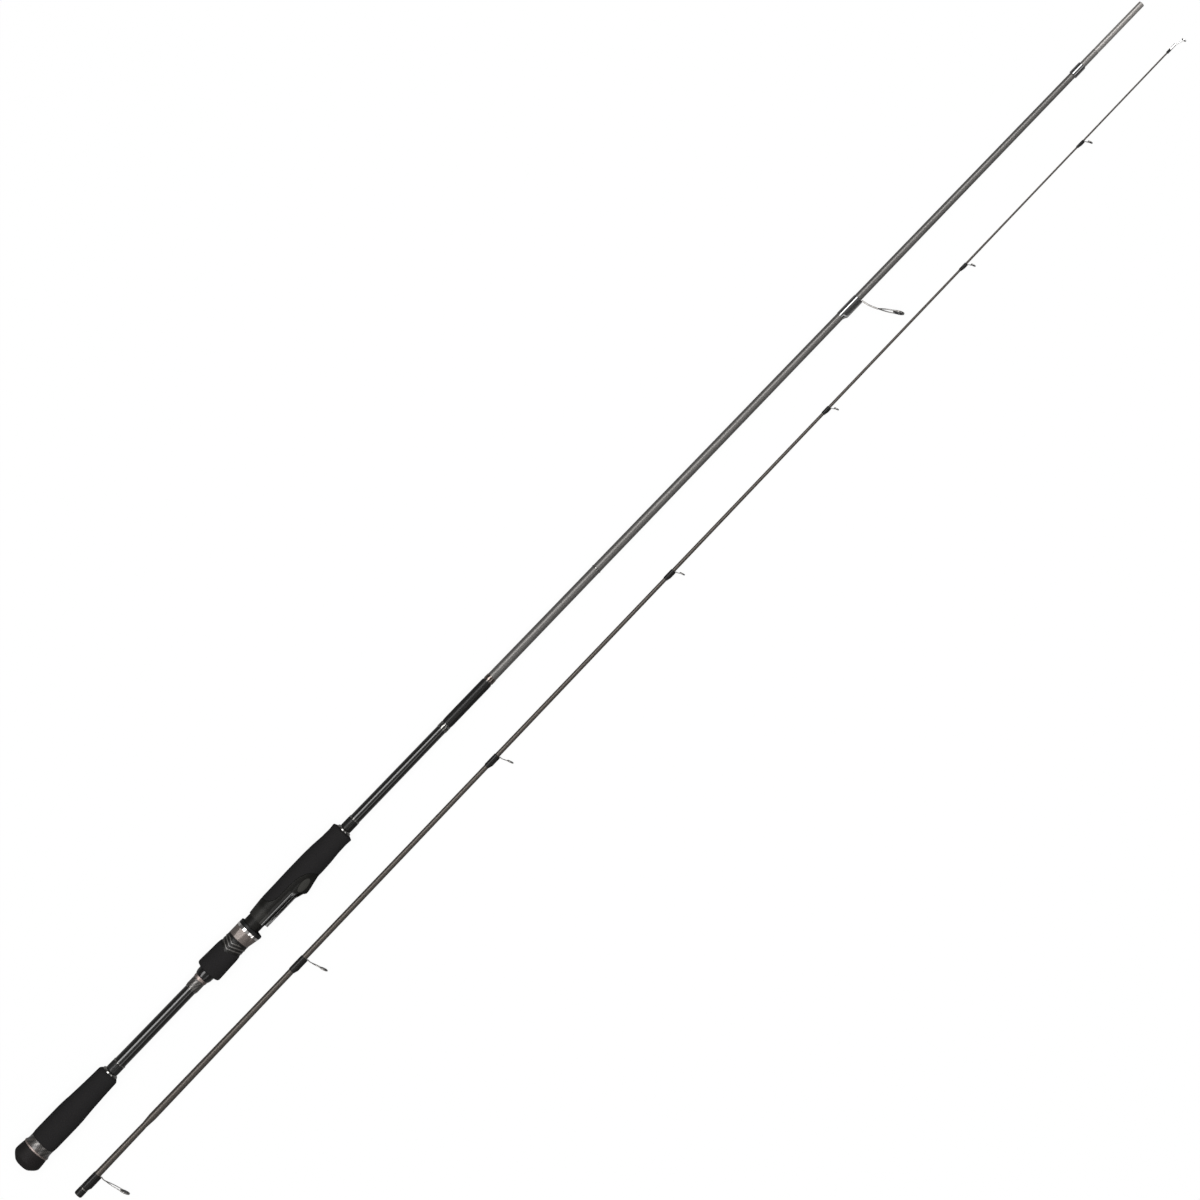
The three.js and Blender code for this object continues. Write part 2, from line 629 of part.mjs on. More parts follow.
/** Moving hood: metal shell and the keyed liner whose flange turns in the nut. */
function buildMovingHood(section) {
  const shell = bar(hood.from, hood.to, hoodRadius)
    .add(hoodLip(hoodLipRadius, hood.from, hood.to))
    .subtract(bar(hood.from - cutPast, hood.to + cutPast, linerRadius + glueLine))
    .subtract(hoodLip(hoodLipRadius - hoodWall, hood.from + hoodEndWall, hood.to + cutPast));
  addPiece(section, 'moving_hood', shell, hoodMetal);
  const flangeStart = handle.band.from + bandSpigot + slideFit;
  const flangeEnd = flangeStart + flangeLength;
  const linerEnd = hood.to - hoodWall;
  const liner = turned([
    [flangeStart, linerBore], [flangeStart, flangeRadius], [flangeEnd, flangeRadius],
    [flangeEnd, linerRadius], [linerEnd, linerRadius], [linerEnd, linerBore],
  ]);
  const keyRoot = linerBore + linerWall / 2;
  const key = block(flangeStart, linerEnd, -keyRoot, -(barrelRadius - keyDepth), keyWidth / 2);
  const pocketStart = hood.from + 2 * hoodEndWall;
  const pocket = block(pocketStart, hood.to, bedHeight - cutPast, 2 * barrelRadius, hoodLipRadius);
  addPiece(section, 'hood_liner', liner.add(key).subtract(pocket), nylon);
}

/** Bands and whippings on the bare blank in front of the handle. */
function buildBands(section) {
  const spans = inLine(labelStart, {
    rear: bandRearLength,
    label: labelWrapLength,
    front: bandFrontLength,
  });
  addPiece(section, 'band_rear', layerOn(buttStations, spans.rear, bandThickness), silver);
  addPiece(section, 'label_wrap', layerOn(buttStations, spans.label, labelWrapThickness), wrapGloss);
  addPiece(section, 'band_front', layerOn(buttStations, spans.front, bandThickness), copper);
  const marker = { from: markerBandStart, to: markerBandStart + markerBandLength };
  addPiece(section, 'marker_band', layerOn(buttStations, marker, bandThickness), silver);
  addPiece(section, 'ferrule_whip',
    layerOn(buttStations, ferruleWhip, ferruleWhipThickness, softWhipping), wrapGloss);
}

// ---- Guides ----

/** A ceramic ring round an axis along the rod, rounded on the inside where the line runs. */
function insertRing(inner, outer, depth) {
  const [edge, quarter] = [depth / 2, (outer - inner) / 3];
  return turned([
    [-edge, outer], [edge, outer], [edge, inner + quarter], [edge / 2, inner], [-edge / 2, inner],
    [-edge, inner + quarter],
  ], ringSides);
}

/** Leans a ring forward and sets its centre. */
function setRing(ring, along, out, lean) {
  const turn = new THREE.Matrix4().makeRotationZ(THREE.MathUtils.degToRad(lean));
  const matrix = new THREE.Matrix4().makeTranslation(along, -out, 0).multiply(turn);
  return ring.transform(matrix.elements);
}

/** The ceramic ring and the metal holder round it, about the origin. */
function ringPair(radius) {
  const insertOuter = radius * (1 - holderShare);
  const insertInner = insertOuter - radius * insertShare;
  const depth = radius * insertDepthShare + insertExtraDepth;
  const [bore, edge] = [insertOuter + glueLine, (depth * holderDepthShare) / 2];
  return {
    insert: insertRing(insertInner, insertOuter, depth),
    holder: turned([[-edge, bore], [-edge, radius], [edge, radius], [edge, bore]], ringSides),
  };
}

/** Radius of the round whipping that encloses a blank and the guide foot lying on it. */
function guideWhipRadius(stations, { at, gauge }) {
  return radiusOn(stations, at) + glueLine + gauge / 2 + wrapThickness;
}

/** One guide: frame with its foot under the whipping, ceramic ring, and the whipping itself. */
function buildGuide(section, name, stations, guide) {
  const { at, wrap, ahead, out, radius, lean, gauge, parting } = guide;
  const wrapEnd = at + wrap;
  const footLow = radiusOn(stations, at) + glueLine;
  const footMiddle = footLow + gauge / 2;
  const foot = block(at + footInset, wrapEnd + footLip, footLow, footLow + gauge, (footWidth * gauge) / 2);
  const heel = place(wrapEnd + footLip - gauge / 2, footMiddle);
  const centre = place(wrapEnd + ahead, out);
  const fork = heel.clone().lerp(centre, parting).add(place(-ahead * stemSweep, 0));
  const { insert, holder } = ringPair(radius);
  const arms = [1, -1].map((hand) => {
    const end = place(centre.x, out, hand * radius);
    const bend = fork.clone().lerp(end, armBend);
    bend.z = hand * radius * armSpread;
    return wire([fork, bend, end], gauge * armGauge, armSteps);
  });
  const rise = heel.clone().lerp(fork, 1 / 2).add(place((-ahead * stemSweep) / 4, 0));
  const stem = wire([heel, rise, fork], gauge * stemGauge, stemSteps);
  const frame = foot.add(stem).add(arms[0]).add(arms[1]).add(setRing(holder, centre.x, out, lean));
  addPiece(section, `${name}_frame`, frame, frameMetal);
  addPiece(section, `${name}_ring`, setRing(insert, centre.x, out, lean), ceramic);
  const whip = turned(outlineOver({ from: at, to: wrapEnd }, guideWhipRadius(stations, guide), [
    [0, 0], [0, 0.88], [0.12, 1], [0.92, 1], [1, 0.94], [1, 0],
  ]), blankSides, gauge / 2);
  const [cutStart, cutEnd] = [at - cutPast, wrapEnd + cutPast];
  const blank = turned([
    [cutStart, 0], ...boreOver(stations, cutStart, cutEnd, glueLine).reverse(), [cutEnd, 0],
  ], blankSides);
  const channel = block(at + footInset - glueLine, cutEnd, 0, footLow + gauge + glueLine,
    (footWidth * gauge) / 2 + glueLine);
  addPiece(section, `${name}_wrap`, whip.subtract(blank).subtract(channel), wrapGloss);
}

// ---- Tip section ----
const socketBore = ferruleRootRadius + ferruleFit;
const socketRadius = socketBore + socketWall;
const taperStations = tipTaper.map(([share, radius]) => [share * tipLength, radius]);
const tipStations = [
  [0, socketRadius], [socketTaperEnd, socketRadius], ...taperStations, [tipLength, tipEndRadius],
];

/** The tip section's blank: ferrule socket at the rear, hollow to its middle station, solid at the tip. */
function buildTipBlank(section) {
  const [[hollowStart, hollowRadius], [hollowEnd, hollowEndRadius]] = taperStations;
  const profile = [
    ...tipStations,
    [tipLength, 0],
    [hollowEnd, 0],
    [hollowEnd, hollowEndRadius - tipWall],
    [hollowStart, hollowRadius - tipWall],
    [socketLength + socketStep, ferruleEndRadius - ferruleFit],
    [socketLength, ferruleEndRadius + ferruleFit],
    [0, socketBore],
  ];
  addPiece(section, 'tip_blank', turned(profile, blankSides), carbonSatin);
  const whip = { from: socketWhipStart, to: socketWhipStart + socketWhipLength };
  addPiece(section, 'socket_whip', layerOn(tipStations, whip, socketWhipThickness), wrapGloss);
  const trim = { from: whip.to + seam, to: firstTipGuide.at - seam };
  addPiece(section, 'socket_trim_ring', layerOn(tipStations, trim, trimThickness), silver);
}

/** Tip-top: a tube over the blank's end with two arms to its ring, and a whipping behind it. */
function buildTipTop(section) {
  const tubeStart = tipLength - tipTubeOverlap;
  const tubeEnd = tubeStart + tipTubeLength;
  const bore = radiusOn(tipStations, tubeStart) + glueLine;
  const tubeRadius = bore + tipTubeWall;
  const centre = place(tubeEnd + tipRingAhead, tipRingOut);
  const { insert, holder } = ringPair(tipRingRadius);
  const arms = [1, -1].map((hand) => {
    const root = place(tubeEnd - tipArmStart, 0, (hand * tubeRadius) / 2);
    const end = place(centre.x, tipRingOut, hand * tipRingRadius);
    const bend = root.clone().lerp(end, armBend);
    bend.z = hand * tipRingRadius * armSpread;
    return wire([root, bend, end], tipWireRadius, armSteps);
  });
  const tube = turned([
    [tubeStart, bore], [tubeStart, tubeRadius], [tubeEnd, tipTubeNose * tubeRadius],
    [tubeEnd, 0], [tipLength + seam, 0], [tipLength + seam, bore],
  ], blankSides);
  const frame = tube.add(arms[0]).add(arms[1]).add(setRing(holder, centre.x, tipRingOut, tipRingLean));
  addPiece(section, 'tip_top_frame', frame, frameMetal);
  addPiece(section, 'tip_top_ring', setRing(insert, centre.x, tipRingOut, tipRingLean), ceramic);
  const whip = { from: tubeStart - seam - tipWhipLength, to: tubeStart - seam };
  addPiece(section, 'tip_top_whip', layerOn(tipStations, whip, tipWhipThickness, softWhipping), wrapGloss);
}

// ---- The two sections, and how they lie ----
const buttSection = new THREE.Group();
buildButtBlank(buttSection);
buildHandle(buttSection);
buildReelSeat(buttSection);
buildForegrip(buttSection);
buildLockNut(buttSection);
buildMovingHood(buttSection);
buildBands(buttSection);
buildGuide(buttSection, 'guide_0', buttStations, buttGuide);

const tipSection = new THREE.Group();
buildTipBlank(tipSection);
tipGuides.forEach((guide, i) => buildGuide(tipSection, `guide_${i + 1}`, tipStations, guide));
buildTipTop(tipSection);

// The butt section rests on its foregrip and on its ferrule's whipping.
const gripContact = front.foregrip.from + foregripLength / 2;
const whipContact = (ferruleWhip.from + ferruleWhip.to) / 2;
const whipContactRadius = radiusOn(buttStations, whipContact) + glueLine + ferruleWhipThickness;
const buttTilt = Math.asin((foregripRadius - whipContactRadius) / (whipContact - gripContact));
buttSection.rotation.set(-THREE.MathUtils.degToRad(buttRoll), buttTilt, 0, 'YXZ');
buttSection.position.z = foregripRadius + gripContact * Math.sin(buttTilt);

// The tip section rests on its first guide's whipping and on its tip-top ring.
const tipReach = tipLength - tipTubeOverlap + tipTubeLength + tipRingAhead;
const wrapContact = firstTipGuide.at + firstTipGuide.wrap / 2;
const wrapContactRadius = guideWhipRadius(tipStations, firstTipGuide);
const tipTopContactRadius = tipRingRadius + tipWireRadius;
const tipTilt = Math.asin((wrapContactRadius - tipTopContactRadius) / (tipReach - wrapContact));
const tipYaw = THREE.MathUtils.degToRad(tipTurn);

// It lies beside the butt guide, clear of that guide's ring.
const buttGuideReach = (buttGuide.out + buttGuide.radius) * Math.cos(THREE.MathUtils.degToRad(buttRoll));
const buttGuideRing = buttGuide.at + buttGuide.wrap + buttGuide.ahead;
const gapAtRing = buttGuideReach + ringToTipLine;
const gapAtRear = gapAtRing + (buttGuideRing - tipStart) * Math.sin(tipYaw);
tipSection.rotation.set(-THREE.MathUtils.degToRad(tipRoll), tipTilt, tipYaw, 'ZYX');
tipSection.position.set(tipStart, -gapAtRear, wrapContactRadius + wrapContact * Math.sin(tipTilt));

// The origin is at the middle of the bottom of the whole rod.
const rod = new THREE.Group();
rod.add(buttSection, tipSection);
rod.updateMatrixWorld(true);
const box = new THREE.Box3().setFromObject(rod, true);
const middle = box.getCenter(new THREE.Vector3());
rod.position.set(-middle.x, -middle.y, -box.min.z);
rod.updateMatrixWorld(true);

export default rod;
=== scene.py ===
"""The looks of a two-piece spinning rod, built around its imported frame.

Each half of the rod, a Section, has its own millimetres: along from its rear end, side across and out
towards its guides. Forms are shaped there, and the Workshop sets them down in the frame as pieces.
"""

import logging
import math
from collections.abc import Iterable, Sequence
from dataclasses import dataclass, field
from enum import Enum
from typing import Any, ClassVar, Protocol

import bpy
import numpy as np
from mathutils import Matrix, Vector


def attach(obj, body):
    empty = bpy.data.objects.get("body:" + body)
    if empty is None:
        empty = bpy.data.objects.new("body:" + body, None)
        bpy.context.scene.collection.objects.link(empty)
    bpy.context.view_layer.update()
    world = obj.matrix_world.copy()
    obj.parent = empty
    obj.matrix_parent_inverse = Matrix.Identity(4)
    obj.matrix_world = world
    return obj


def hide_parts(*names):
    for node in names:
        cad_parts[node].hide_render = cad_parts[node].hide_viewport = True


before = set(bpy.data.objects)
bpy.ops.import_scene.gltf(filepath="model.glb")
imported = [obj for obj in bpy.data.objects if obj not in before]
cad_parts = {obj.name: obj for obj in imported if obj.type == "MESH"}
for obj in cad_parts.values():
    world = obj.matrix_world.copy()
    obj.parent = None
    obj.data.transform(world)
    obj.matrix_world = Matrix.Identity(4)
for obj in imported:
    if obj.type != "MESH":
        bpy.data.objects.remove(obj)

log = logging.getLogger("rod")

Station = tuple[float, float]
Colour = tuple[float, float, float]
Tint = Colour | bpy.types.NodeSocket
TURN = 2 * math.pi
MILLIMETRE = 0.001
WHITE = (1.0, 1.0, 1.0, 1.0)
HANDS = (1, -1)

# Millimetres: the gap between pieces, how near an end counts as at it, what counts as nothing, how much
# of the lock nut's rear end the tail cone takes over, and a reach beyond the handle's outside.
GLUE_LINE = 0.1
HAIR = 0.05
NOTHING = 1e-6
NUT_INSET = 1.9
FAR = 30.0

# Degrees: the least angle between faces that stays a crisp edge, on turned, wound and moulded pieces.
TURNED_CREASE = 38.0
WOUND_CREASE = 50.0
MOULDED_CREASE = 60.0


class Body(Enum):
    """The rod's bodies, as the record names them."""

    BUTT = "butt_section"
    HOOD = "moving_hood"
    NUT = "lock_nut"
    TIP = "tip_section"


class Slot(Enum):
    """The record's material slots."""

    RUBBER = "butt_rubber"
    FOAM = "eva_foam"
    BRONZE = "bronze_ring"
    SILVER = "silver_trim"
    COPPER = "copper_trim"
    WEAVE = "carbon_gloss"
    BLANK = "blank_carbon"
    LACQUER = "thread_lacquer"
    SEAT = "seat_gloss"
    PAD = "pad_matte"
    NYLON = "nylon"
    HOOD = "hood_metal"
    FRAME = "frame_metal"
    CERAMIC = "ceramic"
    ARBOR = "arbor_tape"


# --- Places ---


def node_corners(node: str) -> np.ndarray:
    """Finds the distinct corners of a CAD node.

    Args:
        node: the node's name.

    Returns:
        An array of corners, three columns, in metres.
    """
    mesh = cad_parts[node].data
    flat = np.empty(len(mesh.vertices) * 3)
    mesh.vertices.foreach_get("co", flat)
    return np.unique(np.round(flat.reshape(-1, 3), 7), axis=0)


@dataclass(frozen=True)
class Span:
    """What a node covers: its two ends along the rod, and its least and greatest radius."""

    start: float
    end: float
    inner: float
    outer: float

    @property
    def length(self) -> float:
        """The distance between the ends."""
        return self.end - self.start

    def at(self, share: float) -> float:
        """The place along the rod at a share of the span."""
        return self.start + share * self.length

    def between(self, start: float, end: float) -> "Span":
        """The same radii over another length."""
        return Span(start, end, self.inner, self.outer)


@dataclass(frozen=True)
class Section:
    """One half of the rod: where its rear end is, and its along, side and out directions as rows."""

    origin: np.ndarray
    axes: np.ndarray

    @classmethod
    def measured(cls, blank: str, rear: str, ring: str) -> "Section":
        """Finds a section's directions from its nodes.

        Args:
            blank: the node whose two ends give the centre line.
            rear: the node whose rear end is where the section starts.
            ring: a guide's ring, which shows which way is out.

        Returns:
            The section.
        """
        corners = node_corners(blank)
        reach = 0.3 * MILLIMETRE
        low = corners[corners[:, 0] < corners[:, 0].min() + reach].mean(axis=0)
        high = corners[corners[:, 0] > corners[:, 0].max() - reach].mean(axis=0)
        along = (high - low) / np.linalg.norm(high - low)
        start = low + along * ((node_corners(rear) - low) @ along).min()
        across = node_corners(ring).mean(axis=0) - start
        out = across - along * (across @ along)
        out /= np.linalg.norm(out)
        return cls(start, np.array([along, np.cross(out, along), out]))

    def world(self, points: np.ndarray) -> np.ndarray:
        """Turns the section's millimetres into the frame's metres."""
        return self.origin + (np.asarray(points, float) @ self.axes) * MILLIMETRE

    def local(self, points: np.ndarray) -> np.ndarray:
        """Turns the frame's metres into the section's millimetres."""
        return ((np.asarray(points, float) - self.origin) @ self.axes.T) / MILLIMETRE

    def corners(self, node: str) -> np.ndarray:
        """The distinct corners of a node, in the section's millimetres."""
        return self.local(node_corners(node))

    def span(self, node: str, after: float = -math.inf, before: float = math.inf) -> Span:
        """Finds what a turned node covers.

        Args:
            node: the node's name.
            after: where to start, for a part of it.
            before: where to end.

        Returns:
            The span.
        """
        corners = self.corners(node)
        corners = corners[(corners[:, 0] > after) & (corners[:, 0] < before)]
        radius = np.hypot(corners[:, 1], corners[:, 2])
        return Span(corners[:, 0].min(), corners[:, 0].max(), radius.min(), radius.max())

    def ends(self, node: str) -> tuple[Span, Span]:
        """What a turned node covers within a hair of its rear end and of its front end."""
        whole = self.span(node)
        return self.span(node, before=whole.start + HAIR), self.span(node, after=whole.end - HAIR)

    def outline(self, node: str) -> list[Station]:
        """Finds the outside of a turned node.

        Args:
            node: the node's name.

        Returns:
            [along, greatest radius] stations from the rear.
        """
        corners = self.corners(node)
        radius = np.hypot(corners[:, 1], corners[:, 2])
        stations: dict[float, float] = {}
        for along, distance in zip(np.round(corners[:, 0], 1), radius):
            stations[along] = max(stations.get(along, 0.0), float(distance))
        return sorted(stations.items())


# --- Outlines ---


def eased(points: Sequence[Station], count: int = 60) -> list[Station]:
    """Draws a smooth line through points, with no overshoot between them.

    Args:
        points: the points, rising in their first number.
        count: how many places to draw.

    Returns:
        The line's points.
    """
    x, y = np.array(points, float).T
    step = np.diff(x)
    slope = np.diff(y) / step
    tangent = np.zeros(len(x))
    tangent[0], tangent[-1] = slope[0], slope[-1]
    for i in range(1, len(x) - 1):
        if slope[i - 1] * slope[i] > 0:
            first, second = 2 * step[i] + step[i - 1], step[i] + 2 * step[i - 1]
            tangent[i] = (first + second) / (first / slope[i - 1] + second / slope[i])
    places = np.unique(np.concatenate([np.linspace(x[0], x[-1], count), x]))
    k = np.clip(np.searchsorted(x, places, side="right") - 1, 0, len(x) - 2)
    t = (places - x[k]) / step[k]
    low = (1 + 2 * t) * (1 - t) ** 2 * y[k] + t * (1 - t) ** 2 * step[k] * tangent[k]
    high = t * t * (3 - 2 * t) * y[k + 1] + t * t * (t - 1) * step[k] * tangent[k + 1]
    return list(zip(places.tolist(), (low + high).tolist()))


def shaped(span: Span, shape: Sequence[Station], count: int = 60) -> list[Station]:
    """Draws a smooth outline over a span from its shares of the length and of the outer radius."""
    return eased([(span.at(along), share * span.outer) for along, share in shape], count)


def radius_on(stations: Sequence[Station], along: float) -> float:
    """The radius of a straight-sided outline at a place along the rod."""
    return float(np.interp(along, [s for s, _ in stations], [r for _, r in stations]))


def softened(loop: Sequence[Station], radius: float, steps: int = 4, least: float = 25) -> list[Station]:
    """Rounds the corners of a closed loop.

    Args:
        loop: the loop's points.
        radius: how far from a corner its rounding starts.
        steps: how many edges a rounding has.
        least: the least turn, in degrees, that counts as a corner.

    Returns:
        The rounded loop.
    """
    points = [Vector(p) for p in loop]
    result: list[Station] = []
    for i, corner in enumerate(points):
        to_last, to_next = points[i - 1] - corner, points[(i + 1) % len(points)] - corner
        if min(to_last.length, to_next.length) < NOTHING:
            continue
        if math.pi - to_last.angle(to_next) < math.radians(least):
            result.append(tuple(corner))
            continue
        start = corner + to_last.normalized() * min(radius, to_last.length * 0.45)
        end = corner + to_next.normalized() * min(radius, to_next.length * 0.45)
        for step in range(steps + 1):
            t = step / steps
            result.append(tuple(start * (1 - t) ** 2 + corner * 2 * t * (1 - t) + end * t * t))
    return result


# --- Forms ---


@dataclass
class Form:
    """A closed shape: its corners in a section's millimetres, and the faces between them."""

    corners: np.ndarray
    faces: list[tuple[int, ...]]

    @classmethod
    def turned(cls, profile: Sequence[Station], sides: int = 96, out: float = 0.0) -> "Form":
        """Turns a profile about the centre line, or a line parallel to it.

        Args:
            profile: [along, radius] points. Where the first and last aren't on the line, they are joined.
            sides: how many facets go round.
            out: how far out the line is.

        Returns:
            The form.
        """
        angles = np.linspace(0, TURN, sides, endpoint=False)
        corners: list[tuple[float, float, float]] = []
        rings: list[list[int]] = []
        for along, radius in profile:
            first = len(corners)
            if radius < NOTHING:
                corners.append((along, 0.0, out))
                rings.append([first] * sides)
            else:
                corners += [(along, radius * math.sin(a), out + radius * math.cos(a)) for a in angles]
                rings.append(list(range(first, first + sides)))
        if max(profile[0][1], profile[-1][1]) > NOTHING:
            rings.append(rings[0])
        faces = []
        for low, high in zip(rings, rings[1:]):
            for i in range(sides):
                j = (i + 1) % sides
                face = tuple(dict.fromkeys((low[i], high[i], high[j], low[j])))
                if len(face) > 2:
                    faces.append(face)
        return cls(np.array(corners, float), faces).outward()

    @classmethod
    def cylinder(cls, start: float, end: float, radius: float) -> "Form":
        """A plain cylinder about the centre line."""
        return cls.solid([(start, radius), (end, radius)])

    @classmethod
    def solid(cls, outline: Sequence[Station], out: float = 0.0) -> "Form":
        """Turns an open outline into a solid, closed flat at both ends."""
        return cls.turned([(outline[0][0], 0.0), *outline, (outline[-1][0], 0.0)], out=out)

    @classmethod
    def prism(cls, outline: Sequence[Station], half_width: float) -> "Form":
        """Runs a flat [along, out] outline from one side to the other."""
        return cls.drawn([(s, -half_width, t) for s, t in outline], (0.0, 2 * half_width, 0.0))

    @classmethod
    def bar(cls, outline: Sequence[Station], along: Station) -> "Form":
        """Runs a [side, out] outline along the rod between two places."""
        return cls.drawn([(along[0], side, out) for side, out in outline], (along[1] - along[0], 0.0, 0.0))

    @classmethod
    def drawn(cls, loop: Sequence[Sequence[float]], shift: Sequence[float]) -> "Form":
        """Draws a flat loop out into a solid.

        Args:
            loop: the loop's corners.
            shift: how far and which way it is drawn.

        Returns:
            The form.
        """
        count = len(loop)
        corners = np.vstack([np.array(loop, float), np.array(loop, float) + np.array(shift, float)])
        faces = [tuple(range(count)), tuple(range(2 * count - 1, count - 1, -1))]
        faces += [(i, i + count, (i + 1) % count + count, (i + 1) % count) for i in range(count)]
        return cls(corners, faces).outward()

    @classmethod
    def block(cls, along: Station, out: Station, half_width: float) -> "Form":
        """A plain block between two distances along and two out."""
        (a, b), (low, high) = along, out
        return cls.prism([(a, low), (b, low), (b, high), (a, high)], half_width)

    @classmethod
    def grid(cls, rings: np.ndarray) -> "Form":
        """Skins rings of corners that form a closed loop of loops.

        Args:
            rings: an array of rings by places round by three; the last ring joins the first.

        Returns:
            The form.
        """
        count, round_, _ = rings.shape
        faces = []
        for i in range(count):
            for j in range(round_):
                a, b = i * round_, ((i + 1) % count) * round_
                k = (j + 1) % round_
                faces.append((a + j, b + j, b + k, a + k))
        return cls(rings.reshape(-1, 3).astype(float), faces).outward()

    @classmethod
    def joined(cls, forms: Iterable["Form"]) -> "Form":
        """Puts forms together in one.

        Args:
            forms: the forms.

        Returns:
            All of them as one form.
        """
        corners: list[np.ndarray] = []
        faces: list[tuple[int, ...]] = []
        start = 0
        for form in forms:
            corners.append(form.corners)
            faces += [tuple(i + start for i in face) for face in form.faces]
            start += len(form.corners)
        return cls(np.concatenate(corners), faces)

    @classmethod
    def of_mesh(cls, mesh: bpy.types.Mesh) -> "Form":
        """Reads a form back from a mesh.

        Args:
            mesh: the mesh.

        Returns:
            The form.
        """
        flat = np.empty(len(mesh.vertices) * 3)
        mesh.vertices.foreach_get("co", flat)
        return cls(flat.reshape(-1, 3), [tuple(p.vertices) for p in mesh.polygons])

    def outward(self) -> "Form":
        """The same form with its faces pointing outwards."""
        fans = [(face[0], face[i], face[i + 1]) for face in self.faces for i in range(1, len(face) - 1)]
        a, b, c = self.corners[np.array(fans).T]
        if np.sum(a * np.cross(b, c)) < 0:
            return Form(self.corners, [tuple(reversed(face)) for face in self.faces])
        return self

    def moved(self, matrix: Matrix) -> "Form":
        """The form after a turn and a shift."""
        turn = np.array(matrix.to_3x3())
        return Form(self.corners @ turn.T + np.array(matrix.to_translation()), self.faces)

    def mesh(self, name: str) -> bpy.types.Mesh:
        """Makes a Blender mesh of the form, in millimetres.

        Args:
            name: the mesh's name.

        Returns:
            The mesh.
        """
        mesh = bpy.data.meshes.new(name)
        mesh.from_pydata(self.corners.tolist(), [], self.faces)
        mesh.update()
        return mesh


def stood(name: str, data: bpy.types.ID) -> bpy.types.Object:
    """Makes an object of a mesh, a lamp or a camera and links it into the scene."""
    obj = bpy.data.objects.new(name, data)
    bpy.context.scene.collection.objects.link(obj)
    return obj


def discard(obj: bpy.types.Object) -> None:
    """Throws an object away with its mesh."""
    data = obj.data
    bpy.data.objects.remove(obj)
    bpy.data.meshes.remove(data)


def evaluated(obj: bpy.types.Object) -> Form:
    """Reads an object with its modifiers applied, then throws the object away.

    Args:
        obj: the object.

    Returns:
        What its modifiers make of it.
    """
    graph = bpy.context.evaluated_depsgraph_get()
    mesh = bpy.data.meshes.new_from_object(obj.evaluated_get(graph), depsgraph=graph)
    form = Form.of_mesh(mesh)
    bpy.data.meshes.remove(mesh)
    discard(obj)
    return form


class Tool(Enum):
    """How one form acts on another."""

    ADD = "UNION"
    CUT = "DIFFERENCE"
    KEEP = "INTERSECT"


def worked(base: Form, steps: Sequence[tuple[Tool, Form]]) -> Form:
    """Adds forms to one, cuts them from it or keeps what they share.

    Args:
        base: the form to start from.
        steps: what is done to it, in order.

    Returns:
        The result.
    """
    obj = stood("base", base.mesh("base"))
    others = []
    for number, (tool, form) in enumerate(steps):
        other = stood(f"tool_{number}", form.mesh("tool"))
        others.append(other)
        modifier = obj.modifiers.new(f"step_{number}", "BOOLEAN")
        modifier.operation = tool.value
        modifier.solver = "EXACT"
        modifier.object = other
    result = evaluated(obj)
    for other in others:
        discard(other)
    return result


def moulded(form: Form, voxel: float, passes: int, kept: float = 1.0) -> Form:
    """Gives a form the soft edges of a moulding.

    Args:
        form: a closed form.
        voxel: the size of its new facets.
        passes: how often it is smoothed.
        kept: the share of its facets that stays where it is flat enough to thin them out.

    Returns:
        The moulded form.
    """
    obj = stood("moulding", form.mesh("moulding"))
    remesh = obj.modifiers.new("remesh", "REMESH")
    remesh.mode = "VOXEL"
    remesh.voxel_size = voxel
    smooth = obj.modifiers.new("smooth", "SMOOTH")
    smooth.factor = 0.5
    smooth.iterations = passes
    if kept < 1:
        thin = obj.modifiers.new("thin", "DECIMATE")
        thin.ratio = kept
    return evaluated(obj)


# --- Nodes ---


class Graph:
    """The nodes of one tree, made by one method."""

    def __init__(self, tree: bpy.types.NodeTree) -> None:
        """Works on a tree."""
        self.tree = tree

    def node(
        self, kind: str, settings: dict[str, Any] | None = None, inputs: dict[str | int, Any] | None = None
    ) -> bpy.types.Node:
        """Makes a node.

        Args:
            kind: the node's type.
            settings: its properties, set first. "stops" are a ramp's [place, colour] pairs.
            inputs: values or links of its sockets, by name or number.

        Returns:
            The node.
        """
        made = self.tree.nodes.new(kind)
        for name, value in (settings or {}).items():
            if name == "stops":
                elements = made.color_ramp.elements
                while len(elements) < len(value):
                    elements.new(1.0)
                for element, (place, colour) in zip(elements, value):
                    element.position, element.color = place, (*colour, 1.0)
            else:
                setattr(made, name, value)
        for key, value in (inputs or {}).items():
            socket = made.inputs[key]
            link = getattr(value, "socket", value)
            if isinstance(link, bpy.types.NodeSocket):
                self.tree.links.new(link, socket)
            else:
                socket.default_value = link
        return made


